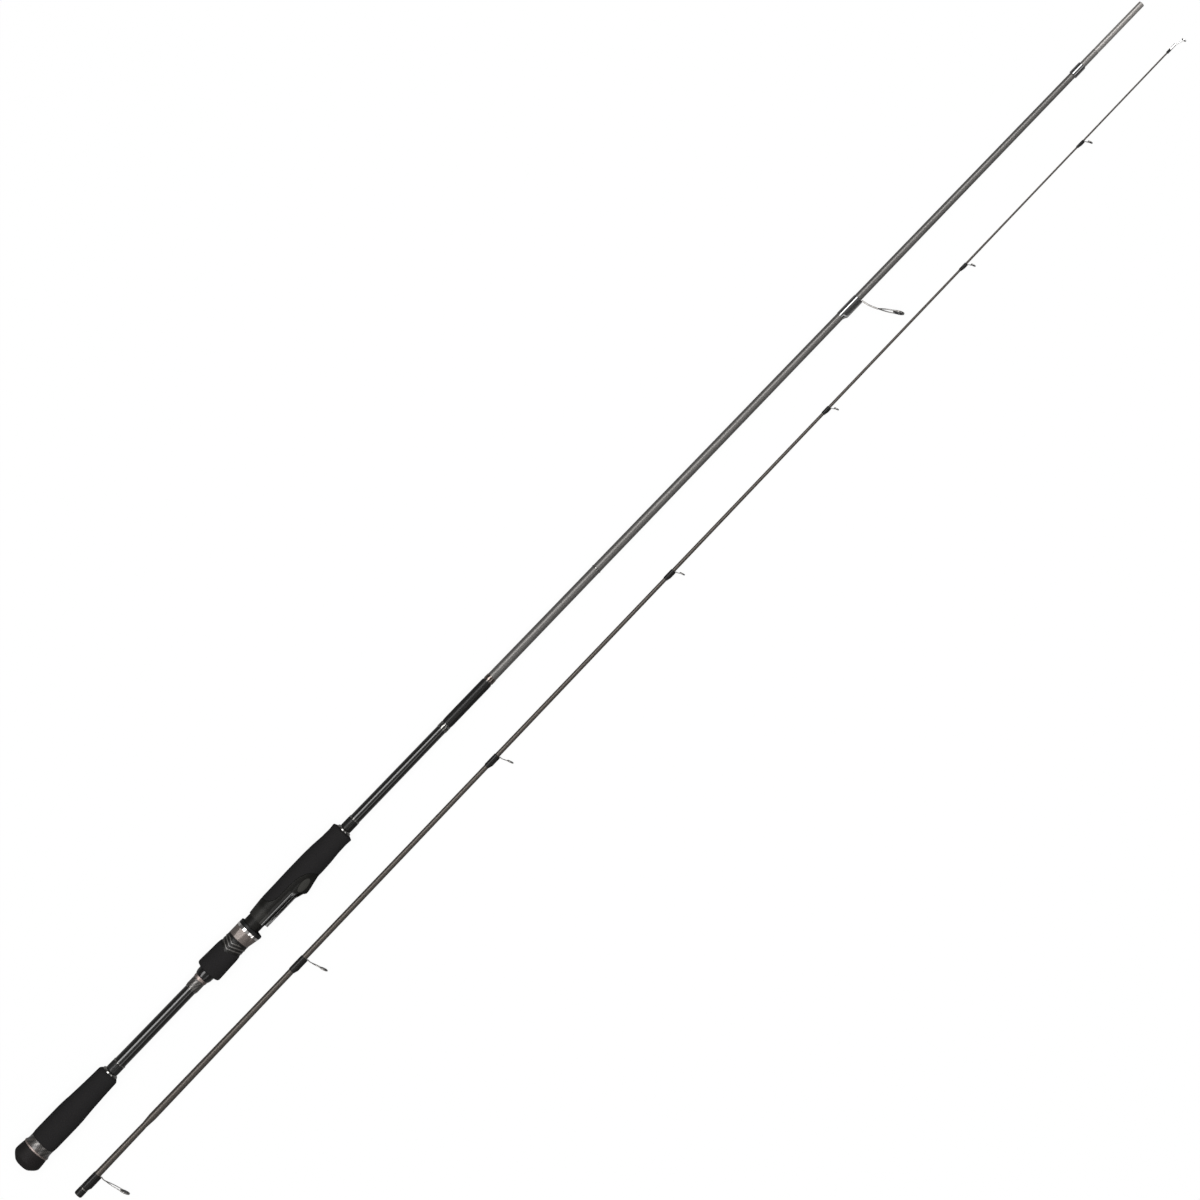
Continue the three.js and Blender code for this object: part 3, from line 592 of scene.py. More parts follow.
class Value:
    """A number that varies over a surface, with arithmetic."""

    def __init__(self, graph: Graph, socket: bpy.types.NodeSocket) -> None:
        """Wraps an output socket of a tree."""
        self.graph = graph
        self.socket = socket

    def math(self, operation: str, *others: "Value | float") -> "Value":
        """The result of a Math node that starts with this."""
        return combined(self.graph, operation, self, *others)

    def __add__(self, other: "Value | float") -> "Value":
        """The sum of this and another."""
        return self.math("ADD", other)

    def __sub__(self, other: "Value | float") -> "Value":
        """This less another."""
        return self.math("SUBTRACT", other)

    def __rsub__(self, other: float) -> "Value":
        """Another less this."""
        return combined(self.graph, "SUBTRACT", other, self)

    def __mul__(self, other: "Value | float") -> "Value":
        """The product of this and another."""
        return self.math("MULTIPLY", other)

    def __truediv__(self, other: "Value | float") -> "Value":
        """This over another."""
        return self.math("DIVIDE", other)

    def __rtruediv__(self, other: float) -> "Value":
        """Another over this."""
        return combined(self.graph, "DIVIDE", other, self)

    __radd__ = __add__
    __rmul__ = __mul__

    def part(self) -> "Value":
        """What is left above the whole number below."""
        return self.math("FRACT")

    def whole(self) -> "Value":
        """The whole number below."""
        return self.math("FLOOR")

    def over(self, limit: "Value | float") -> "Value":
        """1 above a limit and 0 below it."""
        return self.math("GREATER_THAN", limit)

    def step(self, low: float, high: float) -> "Value":
        """Rises smoothly from 0 at a low value to 1 at a high one."""
        inputs = {"Value": self, "From Min": low, "From Max": high}
        made = self.graph.node("ShaderNodeMapRange", {"interpolation_type": "SMOOTHSTEP"}, inputs)
        return Value(self.graph, made.outputs["Result"])


def combined(graph: Graph, operation: str, *values: Value | float) -> Value:
    """The result of a Math node on any mix of values and numbers."""
    made = graph.node("ShaderNodeMath", {"operation": operation}, dict(enumerate(values)))
    return Value(graph, made.outputs[0])


def cleared(owner: bpy.types.Material | bpy.types.World) -> bpy.types.NodeTree:
    """The node tree of a material or of the world, emptied."""
    owner.use_nodes = True
    owner.node_tree.nodes.clear()
    return owner.node_tree


class Surface(Graph):
    """The nodes of one material, on the coordinates that every piece carries."""

    def __init__(self, material: bpy.types.Material) -> None:
        """Starts a material's tree afresh.

        Args:
            material: the material.
        """
        super().__init__(cleared(material))
        place = self.node("ShaderNodeAttribute", {"attribute_name": "rod"})
        self.place = place.outputs["Vector"]
        parts = self.node("ShaderNodeSeparateXYZ", inputs={"Vector": self.place})
        self.along = Value(self, parts.outputs["X"])
        self.side = Value(self, parts.outputs["Y"])
        self.out = Value(self, parts.outputs["Z"])
        self.turn = self.side.math("ARCTAN2", self.out) / TURN

    def vector(self, x: Value | float, y: Value | float, z: Value | float = 0.0) -> bpy.types.NodeSocket:
        """Puts three numbers together as a place."""
        return self.node("ShaderNodeCombineXYZ", inputs={"X": x, "Y": y, "Z": z}).outputs[0]

    def noise(self, grain: float, detail: float = 2.0, place: bpy.types.NodeSocket | None = None) -> Value:
        """Soft random values about 0.5, in patches of a grain in millimetres, with finer layers."""
        inputs = {"Vector": place or self.place, "Scale": 1 / grain, "Detail": detail}
        return Value(self, self.node("ShaderNodeTexNoise", inputs=inputs).outputs[0])

    def cells(self, size: float) -> Value:
        """The distance from the middle of random cells of a size in millimetres, in cells."""
        made = self.node("ShaderNodeTexVoronoi", inputs={"Vector": self.place, "Scale": 1 / size})
        return Value(self, made.outputs["Distance"])

    def wave(self, value: Value, period: float) -> Value:
        """Swings between -1 and 1 as a value goes through a period."""
        return (value * (TURN / period)).math("SINE")

    def blend(self, share: Value, low: Tint, high: Tint) -> bpy.types.NodeSocket:
        """Mixes two colours, by how much of the second there is."""
        colours = (tint if isinstance(tint, bpy.types.NodeSocket) else (*tint, 1.0) for tint in (low, high))
        inputs = dict(zip((0, 6, 7), (share, *colours)))
        return self.node("ShaderNodeMix", {"data_type": "RGBA"}, inputs).outputs[2]

    def bump(self, height: Value) -> bpy.types.NodeSocket:
        """Turns a height in millimetres into a normal."""
        inputs = {"Height": height, "Distance": MILLIMETRE, "Strength": 1.0}
        return self.node("ShaderNodeBump", inputs=inputs).outputs["Normal"]

    def finish(self, **sockets: Any) -> None:
        """Ends the tree in a Principled shader.

        Args:
            sockets: values or links of the shader's sockets, their names in lower case with underscores.
        """
        names = (name.replace("_", " ").title().replace("Ior", "IOR") for name in sockets)
        shader = self.node("ShaderNodeBsdfPrincipled", inputs=dict(zip(names, sockets.values())))
        self.node("ShaderNodeOutputMaterial", inputs={"Surface": shader.outputs[0]})


# --- Finishes ---


class Finish(Protocol):
    """A finish that a piece can be given, with the name of a record's slot."""

    name: str
    slot: Slot

    def dress(self, surface: Surface) -> None:
        """Builds the nodes.

        Args:
            surface: the material's tree.
        """


@dataclass(frozen=True)
class Foam:
    """Closed-cell foam, sanded matt."""

    name: str = "foam"
    slot: Slot = Slot.FOAM
    colour: Colour = (0.0115, 0.011, 0.0112)
    worn: Colour = (0.0215, 0.0205, 0.021)
    cell: float = 0.45
    depth: float = 0.05

    def dress(self, surface: Surface) -> None:
        """Builds the nodes.

        Args:
            surface: the material's tree.
        """
        pores = surface.cells(self.cell).step(0.1, 0.55)
        grain = surface.noise(0.9, 3.0)
        patches = surface.noise(14.0, 2.0)
        # Pore centres are painted darker than the foam round them, a painted shade in the pits; grain and
        # patches vary the tone at random.
        tone = pores * 0.35 + grain * 0.35 + patches * 0.3
        surface.finish(
            base_color=surface.blend(tone, self.colour, self.worn),
            roughness=grain * 0.12 + 0.85,
            specular_ior_level=0.04,
            normal=surface.bump(pores * self.depth + grain * (self.depth * 0.8)),
        )


@dataclass(frozen=True)
class Rubber:
    """Moulded rubber, slightly shiny where it is rubbed."""

    name: str = "rubber"
    slot: Slot = Slot.RUBBER
    colour: Colour = (0.0085, 0.0072, 0.0072)
    rubbed: Colour = (0.0145, 0.013, 0.013)

    def dress(self, surface: Surface) -> None:
        """Builds the nodes.

        Args:
            surface: the material's tree.
        """
        grain = surface.noise(0.6, 3.0)
        patches = surface.noise(7.0, 3.0)
        surface.finish(
            base_color=surface.blend(patches, self.colour, self.rubbed),
            roughness=0.7 - patches * 0.16 + grain * 0.08,
            specular_ior_level=0.07,
            normal=surface.bump(grain * 0.03 + patches * 0.05),
        )


@dataclass(frozen=True)
class TurnedMetal:
    """Metal turned on a lathe and anodised, its tool marks running round it."""

    name: str
    slot: Slot
    colour: Colour
    shade: Colour
    rough: float = 0.24
    marks: float = 0.004
    pitch: float = 0.12

    def dress(self, surface: Surface) -> None:
        """Builds the nodes.

        Args:
            surface: the material's tree.
        """
        uneven = surface.noise(0.5, 2.0, surface.vector(surface.along, surface.turn * 0.4))
        lines = surface.wave(surface.along, self.pitch) * self.marks
        stain = surface.noise(3.5, 3.0)
        surface.finish(
            base_color=surface.blend(stain * 0.8 + uneven * 0.2, self.colour, self.shade),
            metallic=1.0,
            roughness=self.rough * (uneven * 0.5 + 1),
            normal=surface.bump(lines + uneven * (self.marks * 2)),
        )


@dataclass(frozen=True)
class WovenCarbon:
    """Two-over-two carbon cloth under clear gloss."""

    name: str = "woven_carbon"
    slot: Slot = Slot.WEAVE
    dark: Colour = (0.018, 0.016, 0.015)
    light: Colour = (0.13, 0.12, 0.11)
    tow: float = 1.25
    radius: float = 10.0

    def dress(self, surface: Surface) -> None:
        """Builds the nodes.

        Args:
            surface: the material's tree.
        """
        round_ = surface.turn * round(TURN * self.radius / self.tow / 4) * 4
        length = surface.along / self.tow
        over = ((round_.whole() + length.whole()) / 4).part().over(0.49)
        across = (round_.part() * math.pi).math("SINE")
        lengthwise = (length.part() * math.pi).math("SINE")
        crown = over * across + (1 - over) * lengthwise
        fibre = surface.noise(0.05, 1.0, surface.vector(surface.along * 0.1, round_)) * over
        fibre = fibre + surface.noise(0.05, 1.0, surface.vector(surface.along, round_ * 0.1)) * (1 - over)
        glow = surface.noise(5.0, 2.0)
        # Where the tows run along the rod they are painted much lighter than where they run round it, a
        # painted sheen, and crown paints each tow darker towards its edges, a painted shade between the
        # tows; fibre and glow vary the tone at random.
        tone = (over * 0.75 + 0.12) * crown * (fibre * 0.6 + 0.6) * (glow + 0.35)
        surface.finish(
            base_color=surface.blend(tone, self.dark, self.light),
            metallic=0.35,
            roughness=0.42 - over * 0.12,
            specular_ior_level=0.4,
            coat_weight=0.3,
            coat_roughness=0.3,
            normal=surface.bump(crown * 0.02),
        )


@dataclass(frozen=True)
class Blank:
    """A carbon blank: glossy varnish up to a place along it, and bare ground carbon in front of it."""

    name: str
    gloss_end: float
    whip_end: float = 1e6
    ferrule_start: float = 1e6
    dark: Colour = (0.0085, 0.008, 0.0073)
    bare: Colour = (0.100, 0.096, 0.092)
    ferrule: Colour = (0.23, 0.22, 0.21)
    pitch: float = 3.4
    fibre: float = 0.25
    slot: Slot = Slot.BLANK

    def dress(self, surface: Surface) -> None:
        """Builds the nodes.

        Args:
            surface: the material's tree.
        """
        gloss = 1 - surface.along.step(self.gloss_end - 0.1, self.gloss_end + 0.1)
        ferrule = surface.along.over(self.whip_end) * 0.45 + surface.along.over(self.ferrule_start) * 0.55
        grain = surface.vector(surface.along * 0.02, surface.side, surface.out)
        streaks = surface.noise(self.fibre, 3.0, grain)
        drift = surface.noise(16.0, 2.0)
        spiral = (surface.along / self.pitch + surface.turn + drift * 0.5).part()
        tape = spiral.step(0.0, 0.1) - spiral.step(0.8, 1.0) * 0.6
        tone = streaks * 0.45 + tape * 0.25 + drift * 0.3
        bare = surface.blend(tone, tuple(c * 0.72 for c in self.bare), tuple(c * 1.3 for c in self.bare))
        plug = surface.blend(ferrule, bare, self.ferrule)
        varnished = surface.blend(tone * 0.4, self.dark, tuple(c * 2.2 for c in self.dark))
        surface.finish(
            base_color=surface.blend(gloss, plug, varnished),
            metallic=(1 - gloss) * 0.4,
            roughness=0.36 - gloss * 0.2 + streaks * 0.12,
            specular_ior_level=0.1,
            coat_weight=gloss * 0.6,
            coat_roughness=0.06,
            normal=surface.bump((tape * 0.006 + streaks * 0.006) * (1 - gloss * 0.8)),
        )

@dataclass(frozen=True)
class Whipping:
    """Fine thread wound round the rod, under a clear coat."""

    name: str = "whipping"
    colour: Colour = (0.0045, 0.0042, 0.004)
    glint_and_fuzz: Colour = (0.012, 0.011, 0.010)
    thread: float = 0.2
    depth: float = 0.012
    rough: float = 0.5
    coat: float = 0.1
    coat_index: float = 1.5
    slot: Slot = Slot.LACQUER

    def dress(self, surface: Surface) -> None:
        """Builds the nodes.

        Args:
            surface: the material's tree.
        """
        winding = surface.wave(surface.along + surface.turn * self.thread, self.thread)
        fuzz = surface.noise(0.3, 2.0, surface.vector(surface.along * 3, surface.side, surface.out))
        pools = surface.noise(4.0, 1.0)
        # Each turn of thread is painted lighter on its crest and darker in the groove beside it, a painted
        # highlight and shade; fuzz varies the tone at random.
        surface.finish(
            base_color=surface.blend(winding * 0.3 + fuzz * 0.5, self.colour, self.glint_and_fuzz),
            roughness=self.rough + fuzz * 0.1,
            specular_ior_level=0.12,
            coat_weight=self.coat,
            coat_roughness=0.08,
            coat_ior=self.coat_index,
            normal=surface.bump(winding * self.depth + pools * 0.04),
        )


@dataclass(frozen=True)
class Moulding:
    """Moulded plastic, from glossy to matt."""

    name: str
    slot: Slot
    colour: Colour
    shade: Colour
    rough: float
    grain: float = 0.5
    depth: float = 0.004
    coat: float = 0.0
    shine: float = 0.12

    def dress(self, surface: Surface) -> None:
        """Builds the nodes.

        Args:
            surface: the material's tree.
        """
        texture = surface.noise(self.grain, 3.0)
        flow = surface.noise(9.0, 2.0)
        surface.finish(
            base_color=surface.blend(flow * 0.6 + texture * 0.4, self.colour, self.shade),
            roughness=self.rough + texture * 0.08 - flow * 0.04,
            specular_ior_level=self.shine,
            coat_weight=self.coat,
            coat_roughness=0.07,
            normal=surface.bump(texture * self.depth + flow * (self.depth * 3)),
        )


@dataclass(frozen=True)
class SeatPlastic:
    """Graphite-filled plastic: satin, and polished where the reel's foot slides between the rails; its
    flanks near the front are painted paler, a painted highlight.
    """

    bed: float
    bed_side: float
    rail_end: float
    body_start: float
    name: str = "seat_plastic"
    colour: Colour = (0.0065, 0.0062, 0.0056)
    shade: Colour = (0.0125, 0.012, 0.011)
    # pale is the colour of the painted highlight on the body's flanks near its front.
    pale: Colour = (0.030, 0.029, 0.0265)
    bevel: float = 0.4
    rail_width: float = 1.8
    rail_foot: float = 7.8
    sheen_length: float = 13.0
    slot: Slot = Slot.SEAT

    def dress(self, surface: Surface) -> None:
        """Builds the nodes.

        Args:
            surface: the material's tree.
        """
        texture = surface.noise(0.5, 3.0)
        flow = surface.noise(9.0, 2.0)
        reach = surface.side.math("ABSOLUTE")
        side, start, end = self.bed_side, self.body_start, self.body_start + self.sheen_length
        outer = reach.step(side + self.rail_width - self.bevel, side + self.rail_width)
        polished = (
            reach.step(side - self.bevel, side - 0.1) * surface.out.step(self.bed, self.bed + 0.3)
            * (1 - outer * (1 - surface.out.step(self.rail_foot - 0.6, self.rail_foot)))
            * surface.along.step(start, start + 0.5)
            * (1 - surface.along.step(self.rail_end - 2, self.rail_end))
        )
        bed = (1 - reach.step(side - 0.6, side)) * surface.out.step(self.bed - 0.8, self.bed - self.bevel)
        # front and flank mark the body's flanks over its first millimetres, which are painted paler: a
        # painted highlight.
        front = surface.along.step(start - 1, start) * (1 - surface.along.step(end - 5, end))
        flank = reach.step(4.0, 8.0) * (1 - polished)
        satin = surface.blend(flow * 0.6 + texture * 0.4, self.colour, self.shade)
        surface.finish(
            base_color=surface.blend(front * flank * 0.7, satin, self.pale),
            roughness=0.42 + texture * 0.08 - polished * 0.2 + bed * 0.4,
            specular_ior_level=0.06,
            coat_weight=polished * 0.95,
            coat_roughness=0.07,
            coat_ior=2.3,
            normal=surface.bump(texture * 0.004 + flow * 0.012),
        )


@dataclass(frozen=True)
class BrushedMetal:
    """Sheet or drawn metal with a fine satin grain and brighter rubbed patches."""

    name: str
    slot: Slot
    colour: Colour
    shade: Colour
    rough: float = 0.3
    depth: float = 0.003
    metallic: float = 1.0

    def dress(self, surface: Surface) -> None:
        """Builds the nodes.

        Args:
            surface: the material's tree.
        """
        grain = surface.noise(0.12, 3.0, surface.vector(surface.along * 0.15, surface.side, surface.out))
        rubbed = surface.noise(3.0, 3.0)
        surface.finish(
            base_color=surface.blend(rubbed * 0.7 + grain * 0.3, self.colour, self.shade),
            metallic=self.metallic,
            roughness=self.rough + grain * 0.12 - rubbed * 0.06,
            normal=surface.bump(grain * self.depth),
        )


@dataclass(frozen=True)
class Ceramic:
    """Polished dark ceramic."""

    name: str = "ceramic"
    slot: Slot = Slot.CERAMIC
    colour: Colour = (0.024, 0.024, 0.025)
    cloud: Colour = (0.045, 0.045, 0.047)

    def dress(self, surface: Surface) -> None:
        """Builds the nodes.

        Args:
            surface: the material's tree.
        """
        clouds = surface.noise(0.8, 2.0)
        surface.finish(
            base_color=surface.blend(clouds, self.colour, self.cloud),
            roughness=clouds * 0.08 + 0.08,
            specular_ior_level=0.4,
        )


@dataclass(frozen=True)
class PaperTape:
    """Creped masking tape, wound on."""

    name: str = "paper_tape"
    slot: Slot = Slot.ARBOR
    colour: Colour = (0.46, 0.39, 0.26)
    shade: Colour = (0.56, 0.49, 0.36)

    def dress(self, surface: Surface) -> None:
        """Builds the nodes.

        Args:
            surface: the material's tree.
        """
        crepe = surface.noise(0.4, 3.0)
        surface.finish(
            base_color=surface.blend(crepe, self.colour, self.shade),
            roughness=crepe * 0.1 + 0.85,
            normal=surface.bump(crepe * 0.03),
        )


FOAM = Foam()
RUBBER = Rubber()
WEAVE = WovenCarbon()
BRONZE = TurnedMetal("bronze_ring", Slot.BRONZE, (0.15, 0.122, 0.113), (0.21, 0.176, 0.163), rough=0.38)
POLISHED = TurnedMetal(
    "polished_ring", Slot.SILVER, (0.13, 0.127, 0.122), (0.19, 0.185, 0.178), rough=0.1, marks=0.001
)
SILVER_THREAD = BrushedMetal(
    "silver_thread", Slot.SILVER, (0.15, 0.147, 0.14), (0.22, 0.215, 0.205), rough=0.12
)
COPPER_THREAD = BrushedMetal(
    "copper_thread", Slot.COPPER, (0.145, 0.122, 0.11), (0.215, 0.185, 0.17), rough=0.14
)
TIP_CARBON = Blank("tip_carbon", gloss_end=-1.0, bare=(0.058, 0.051, 0.045))
WHIPPING = Whipping()
GLOSS_WHIPPING = Whipping("glossy_whipping", rough=0.3, depth=0.002, coat=1.0, coat_index=2.3)
SATIN_WHIPPING = Whipping("satin_whipping", (0.010, 0.0098, 0.0098), (0.026, 0.025, 0.0245), rough=0.45)
CONE_LACQUER = Moulding(
    "cone_lacquer", Slot.LACQUER, (0.008, 0.0078, 0.0076), (0.012, 0.0118, 0.0115), rough=0.2, coat=0.3
)
NYLON = Moulding(
    "nylon", Slot.NYLON, (0.006, 0.0064, 0.0064), (0.011, 0.0115, 0.0115), rough=0.48, grain=0.25,
    depth=0.008,
)
NOSE = Moulding("hood_nose", Slot.HOOD, (0.0045, 0.0048, 0.0048), (0.008, 0.0085, 0.0085), rough=0.4)
PAD_RUBBER = Moulding(
    "pad_rubber", Slot.PAD, (0.026, 0.0255, 0.0225), (0.042, 0.041, 0.037), rough=0.82, grain=0.3, depth=0.03
)
BAND = Moulding(
    "band", Slot.NYLON, (0.0065, 0.0062, 0.0058), (0.011, 0.0105, 0.01), rough=0.42, grain=0.25, depth=0.01
)
# The raised scales are painted much lighter than the band they stand on, a painted highlight on their
# crests.
HIGHLIT_SCALES = Moulding(
    "raised_scales", Slot.NYLON, (0.030, 0.027, 0.024), (0.062, 0.056, 0.05), rough=0.34, grain=0.3,
    shine=0.5,
)
HOOD_METAL = BrushedMetal(
    "hood_metal", Slot.HOOD, (0.084, 0.068, 0.06), (0.122, 0.102, 0.092), rough=0.44, metallic=0.4
)
HOOD_RIM = BrushedMetal("hood_rim", Slot.HOOD, (0.5, 0.49, 0.48), (0.62, 0.6, 0.58), rough=0.1, depth=0.001)
FRAME_METAL = BrushedMetal(
    "frame_metal", Slot.FRAME, (0.10, 0.096, 0.09), (0.17, 0.163, 0.155), rough=0.24, metallic=0.7
)
TIP_METAL = BrushedMetal("tip_top_metal", Slot.FRAME, (0.62, 0.61, 0.60), (0.78, 0.77, 0.76), rough=0.2)
CERAMIC = Ceramic()
TAPE = PaperTape()


# --- Workshop ---


@dataclass
class Workshop:
    """Makes materials once each, and sets forms down in the frame as finished pieces."""

    materials: dict[str, bpy.types.Material] = field(default_factory=dict)

    def material(self, finish: Finish) -> bpy.types.Material:
        """The material of a finish, made when it is first asked for."""
        if finish.name not in self.materials:
            material = bpy.data.materials.new(finish.name)
            finish.dress(Surface(material))
            self.materials[finish.name] = material
        return self.materials[finish.name]

    def place(
        self,
        name: str,
        form: Form,
        section: Section,
        body: Body,
        finish: Finish,
        replaces: Sequence[str],
        crease: float,
    ) -> None:
        """Sets a form down as a piece.

        Args:
            name: the piece's name.
            form: its shape.
            section: the section whose millimetres it is in.
            body: the body it rides on.
            finish: its finish.
            replaces: the CAD nodes that it stands for.
            crease: the least angle between faces, in degrees, that stays a crisp edge.
        """
        mesh = bpy.data.meshes.new(name)
        mesh.from_pydata(section.world(form.corners).tolist(), [], form.faces)
        mesh.polygons.foreach_set("use_smooth", [True] * len(mesh.polygons))
        mesh.set_sharp_from_angle(angle=math.radians(crease))
        rod = mesh.attributes.new("rod", "FLOAT_VECTOR", "POINT")
        rod.data.foreach_set("vector", form.corners.astype(np.float32).ravel())
        mesh.materials.append(self.material(finish))
        mesh.update()
        piece = stood(name, mesh)
        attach(piece, body.value)
        if replaces:
            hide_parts(*replaces)
        log.info("%s: %d faces on %s", name, len(form.faces), body.value)

    def keep(self, node: str, finish: Finish) -> None:
        """Gives a CAD node that is kept a better material."""
        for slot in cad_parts[node].material_slots:
            slot.material = self.material(finish)
        log.info("%s: kept as it is", node)


# --- Things that repeat or follow a path ---


class Recipe(Graph):
    """A Geometry Nodes tree that makes its geometry from named sizes."""

    def __init__(self, name: str, sizes: dict[str, float | int]) -> None:
        """Starts a tree.

        Args:
            name: the tree's name.
            sizes: its inputs and what they are unless they are set.
        """
        super().__init__(bpy.data.node_groups.new(name, "GeometryNodeTree"))
        face = self.tree.interface
        face.new_socket("Geometry", in_out="INPUT", socket_type="NodeSocketGeometry")
        self.sockets: dict[str, str] = {}
        for size, value in sizes.items():
            kind = "NodeSocketInt" if isinstance(value, int) else "NodeSocketFloat"
            made = face.new_socket(size, in_out="INPUT", socket_type=kind)
            made.default_value = value
            self.sockets[size] = made.identifier
        paint = face.new_socket("Material", in_out="INPUT", socket_type="NodeSocketMaterial")
        self.sockets["Material"] = paint.identifier
        face.new_socket("Geometry", in_out="OUTPUT", socket_type="NodeSocketGeometry")
        self.start = self.node("NodeGroupInput")

    def size(self, name: str) -> Value:
        """One of the tree's inputs."""
        return Value(self, self.start.outputs[name])

    def end(self, geometry: bpy.types.NodeSocket) -> None:
        """Makes the geometry real, paints it and hands it out."""
        real = self.node("GeometryNodeRealizeInstances", inputs={"Geometry": geometry})
        inputs = {"Geometry": real.outputs[0], "Material": self.start.outputs["Material"]}
        paint = self.node("GeometryNodeSetMaterial", inputs=inputs)
        self.node("NodeGroupOutput", inputs={0: paint.outputs[0]})

    def cook(self, base: Form | bpy.types.Mesh, material: bpy.types.Material, **sizes: float | int) -> Form:
        """Runs the tree.

        Args:
            base: what goes in.
            material: the material it sets.
            sizes: the inputs that differ from their defaults, with underscores for spaces.

        Returns:
            What comes out.
        """
        obj = stood("cooked", base.mesh("base") if isinstance(base, Form) else base)
        modifier = obj.modifiers.new("recipe", "NODES")
        modifier.node_group = self.tree
        modifier[self.sockets["Material"]] = material
        for name, value in sizes.items():
            modifier[self.sockets[name.replace("_", " ")]] = value
        return evaluated(obj)


def wire_recipe() -> Recipe:
    """Makes the tree that draws round wire along edges."""
    recipe = Recipe("round_wire", {"Sides": 12, "Spacing": 0.4, "Gauge": 0.5})
    path = recipe.node("GeometryNodeMeshToCurve", inputs={"Mesh": recipe.start.outputs["Geometry"]})
    spacing = {"Curve": path.outputs[0], "Length": recipe.size("Spacing")}
    even = recipe.node("GeometryNodeResampleCurve", {"mode": "LENGTH"}, spacing)
    profile = recipe.node("GeometryNodeCurvePrimitiveCircle", inputs={"Resolution": recipe.size("Sides")})
    sweep = {"Curve": even.outputs[0], "Profile Curve": profile.outputs[0], "Scale": recipe.size("Gauge")}
    wire = recipe.node("GeometryNodeCurveToMesh", inputs={**sweep, "Fill Caps": True})
    recipe.end(wire.outputs[0])
    return recipe


def winding_recipe() -> Recipe:
    """Makes the tree that winds thread about the centre line, from a start towards the front."""
    recipe = Recipe(
        "wound_thread",
        {"Turns": 5.0, "Pitch": 0.28, "Rear Radius": 5.0, "Front Radius": 5.0, "Thread": 0.15, "Start": 0.0,
         "Steps": 64, "Sides": 6},
    )
    spiral = recipe.node(
        "GeometryNodeCurveSpiral",
        inputs={
            "Resolution": recipe.size("Steps"),
            "Rotations": recipe.size("Turns"),
            "Start Radius": recipe.size("Rear Radius"),
            "End Radius": recipe.size("Front Radius"),
            "Height": recipe.size("Turns") * recipe.size("Pitch"),
            "Reverse": True,
        },
    )
    circle = {"Resolution": recipe.size("Sides"), "Radius": recipe.size("Thread")}
    profile = recipe.node("GeometryNodeCurvePrimitiveCircle", inputs=circle)
    sweep = {"Curve": spiral.outputs[0], "Profile Curve": profile.outputs[0], "Fill Caps": True}
    thread = recipe.node("GeometryNodeCurveToMesh", inputs=sweep)
    shift = recipe.node("ShaderNodeCombineXYZ", inputs={"X": recipe.size("Start")})
    move = {"Translation": shift.outputs[0], "Rotation": (0.0, math.pi / 2, 0.0)}
    laid = recipe.node("GeometryNodeTransform", inputs={"Geometry": thread.outputs[0], **move})
    recipe.end(laid.outputs[0])
    return recipe


def stacking_recipe() -> Recipe:
    """Makes the tree that repeats a form along the rod at an even spacing."""
    recipe = Recipe("stacked", {"Count": 3, "Spacing": 3.0})
    offset = recipe.node("ShaderNodeCombineXYZ", inputs={"X": recipe.size("Spacing")})
    row = {"Count": recipe.size("Count"), "Offset": offset.outputs[0]}
    line = recipe.node("GeometryNodeMeshLine", inputs=row)
    stamp = {"Points": line.outputs[0], "Instance": recipe.start.outputs["Geometry"]}
    copies = recipe.node("GeometryNodeInstanceOnPoints", inputs=stamp)
    recipe.end(copies.outputs[0])
    return recipe


def curve_through(points: Sequence[Sequence[float]], count: int = 24) -> np.ndarray:
    """Draws a smooth line through places in space.

    Args:
        points: the places.
        count: how many points the line has.

    Returns:
        The line's points.
    """
    knots = np.array(points, float)
    knots = np.vstack([2 * knots[0] - knots[1], knots, 2 * knots[-1] - knots[-2]])
    places = np.linspace(0, len(points) - 1, count)
    i = np.minimum(places.astype(int), len(points) - 2)
    t = (places - i)[:, None]
    a, b, c, d = knots[i], knots[i + 1], knots[i + 2], knots[i + 3]
    return 0.5 * (2 * b + (c - a) * t + (2 * a - 5 * b + 4 * c - d) * t**2 + (3 * b - a - 3 * c + d) * t**3)


# --- Assemblies ---


@dataclass
class Maker:
    """What every assembly needs: the workshop, the two sections and the shared recipes."""

    workshop: Workshop
    butt: Section
    tip: Section
    wire: Recipe
    winding: Recipe


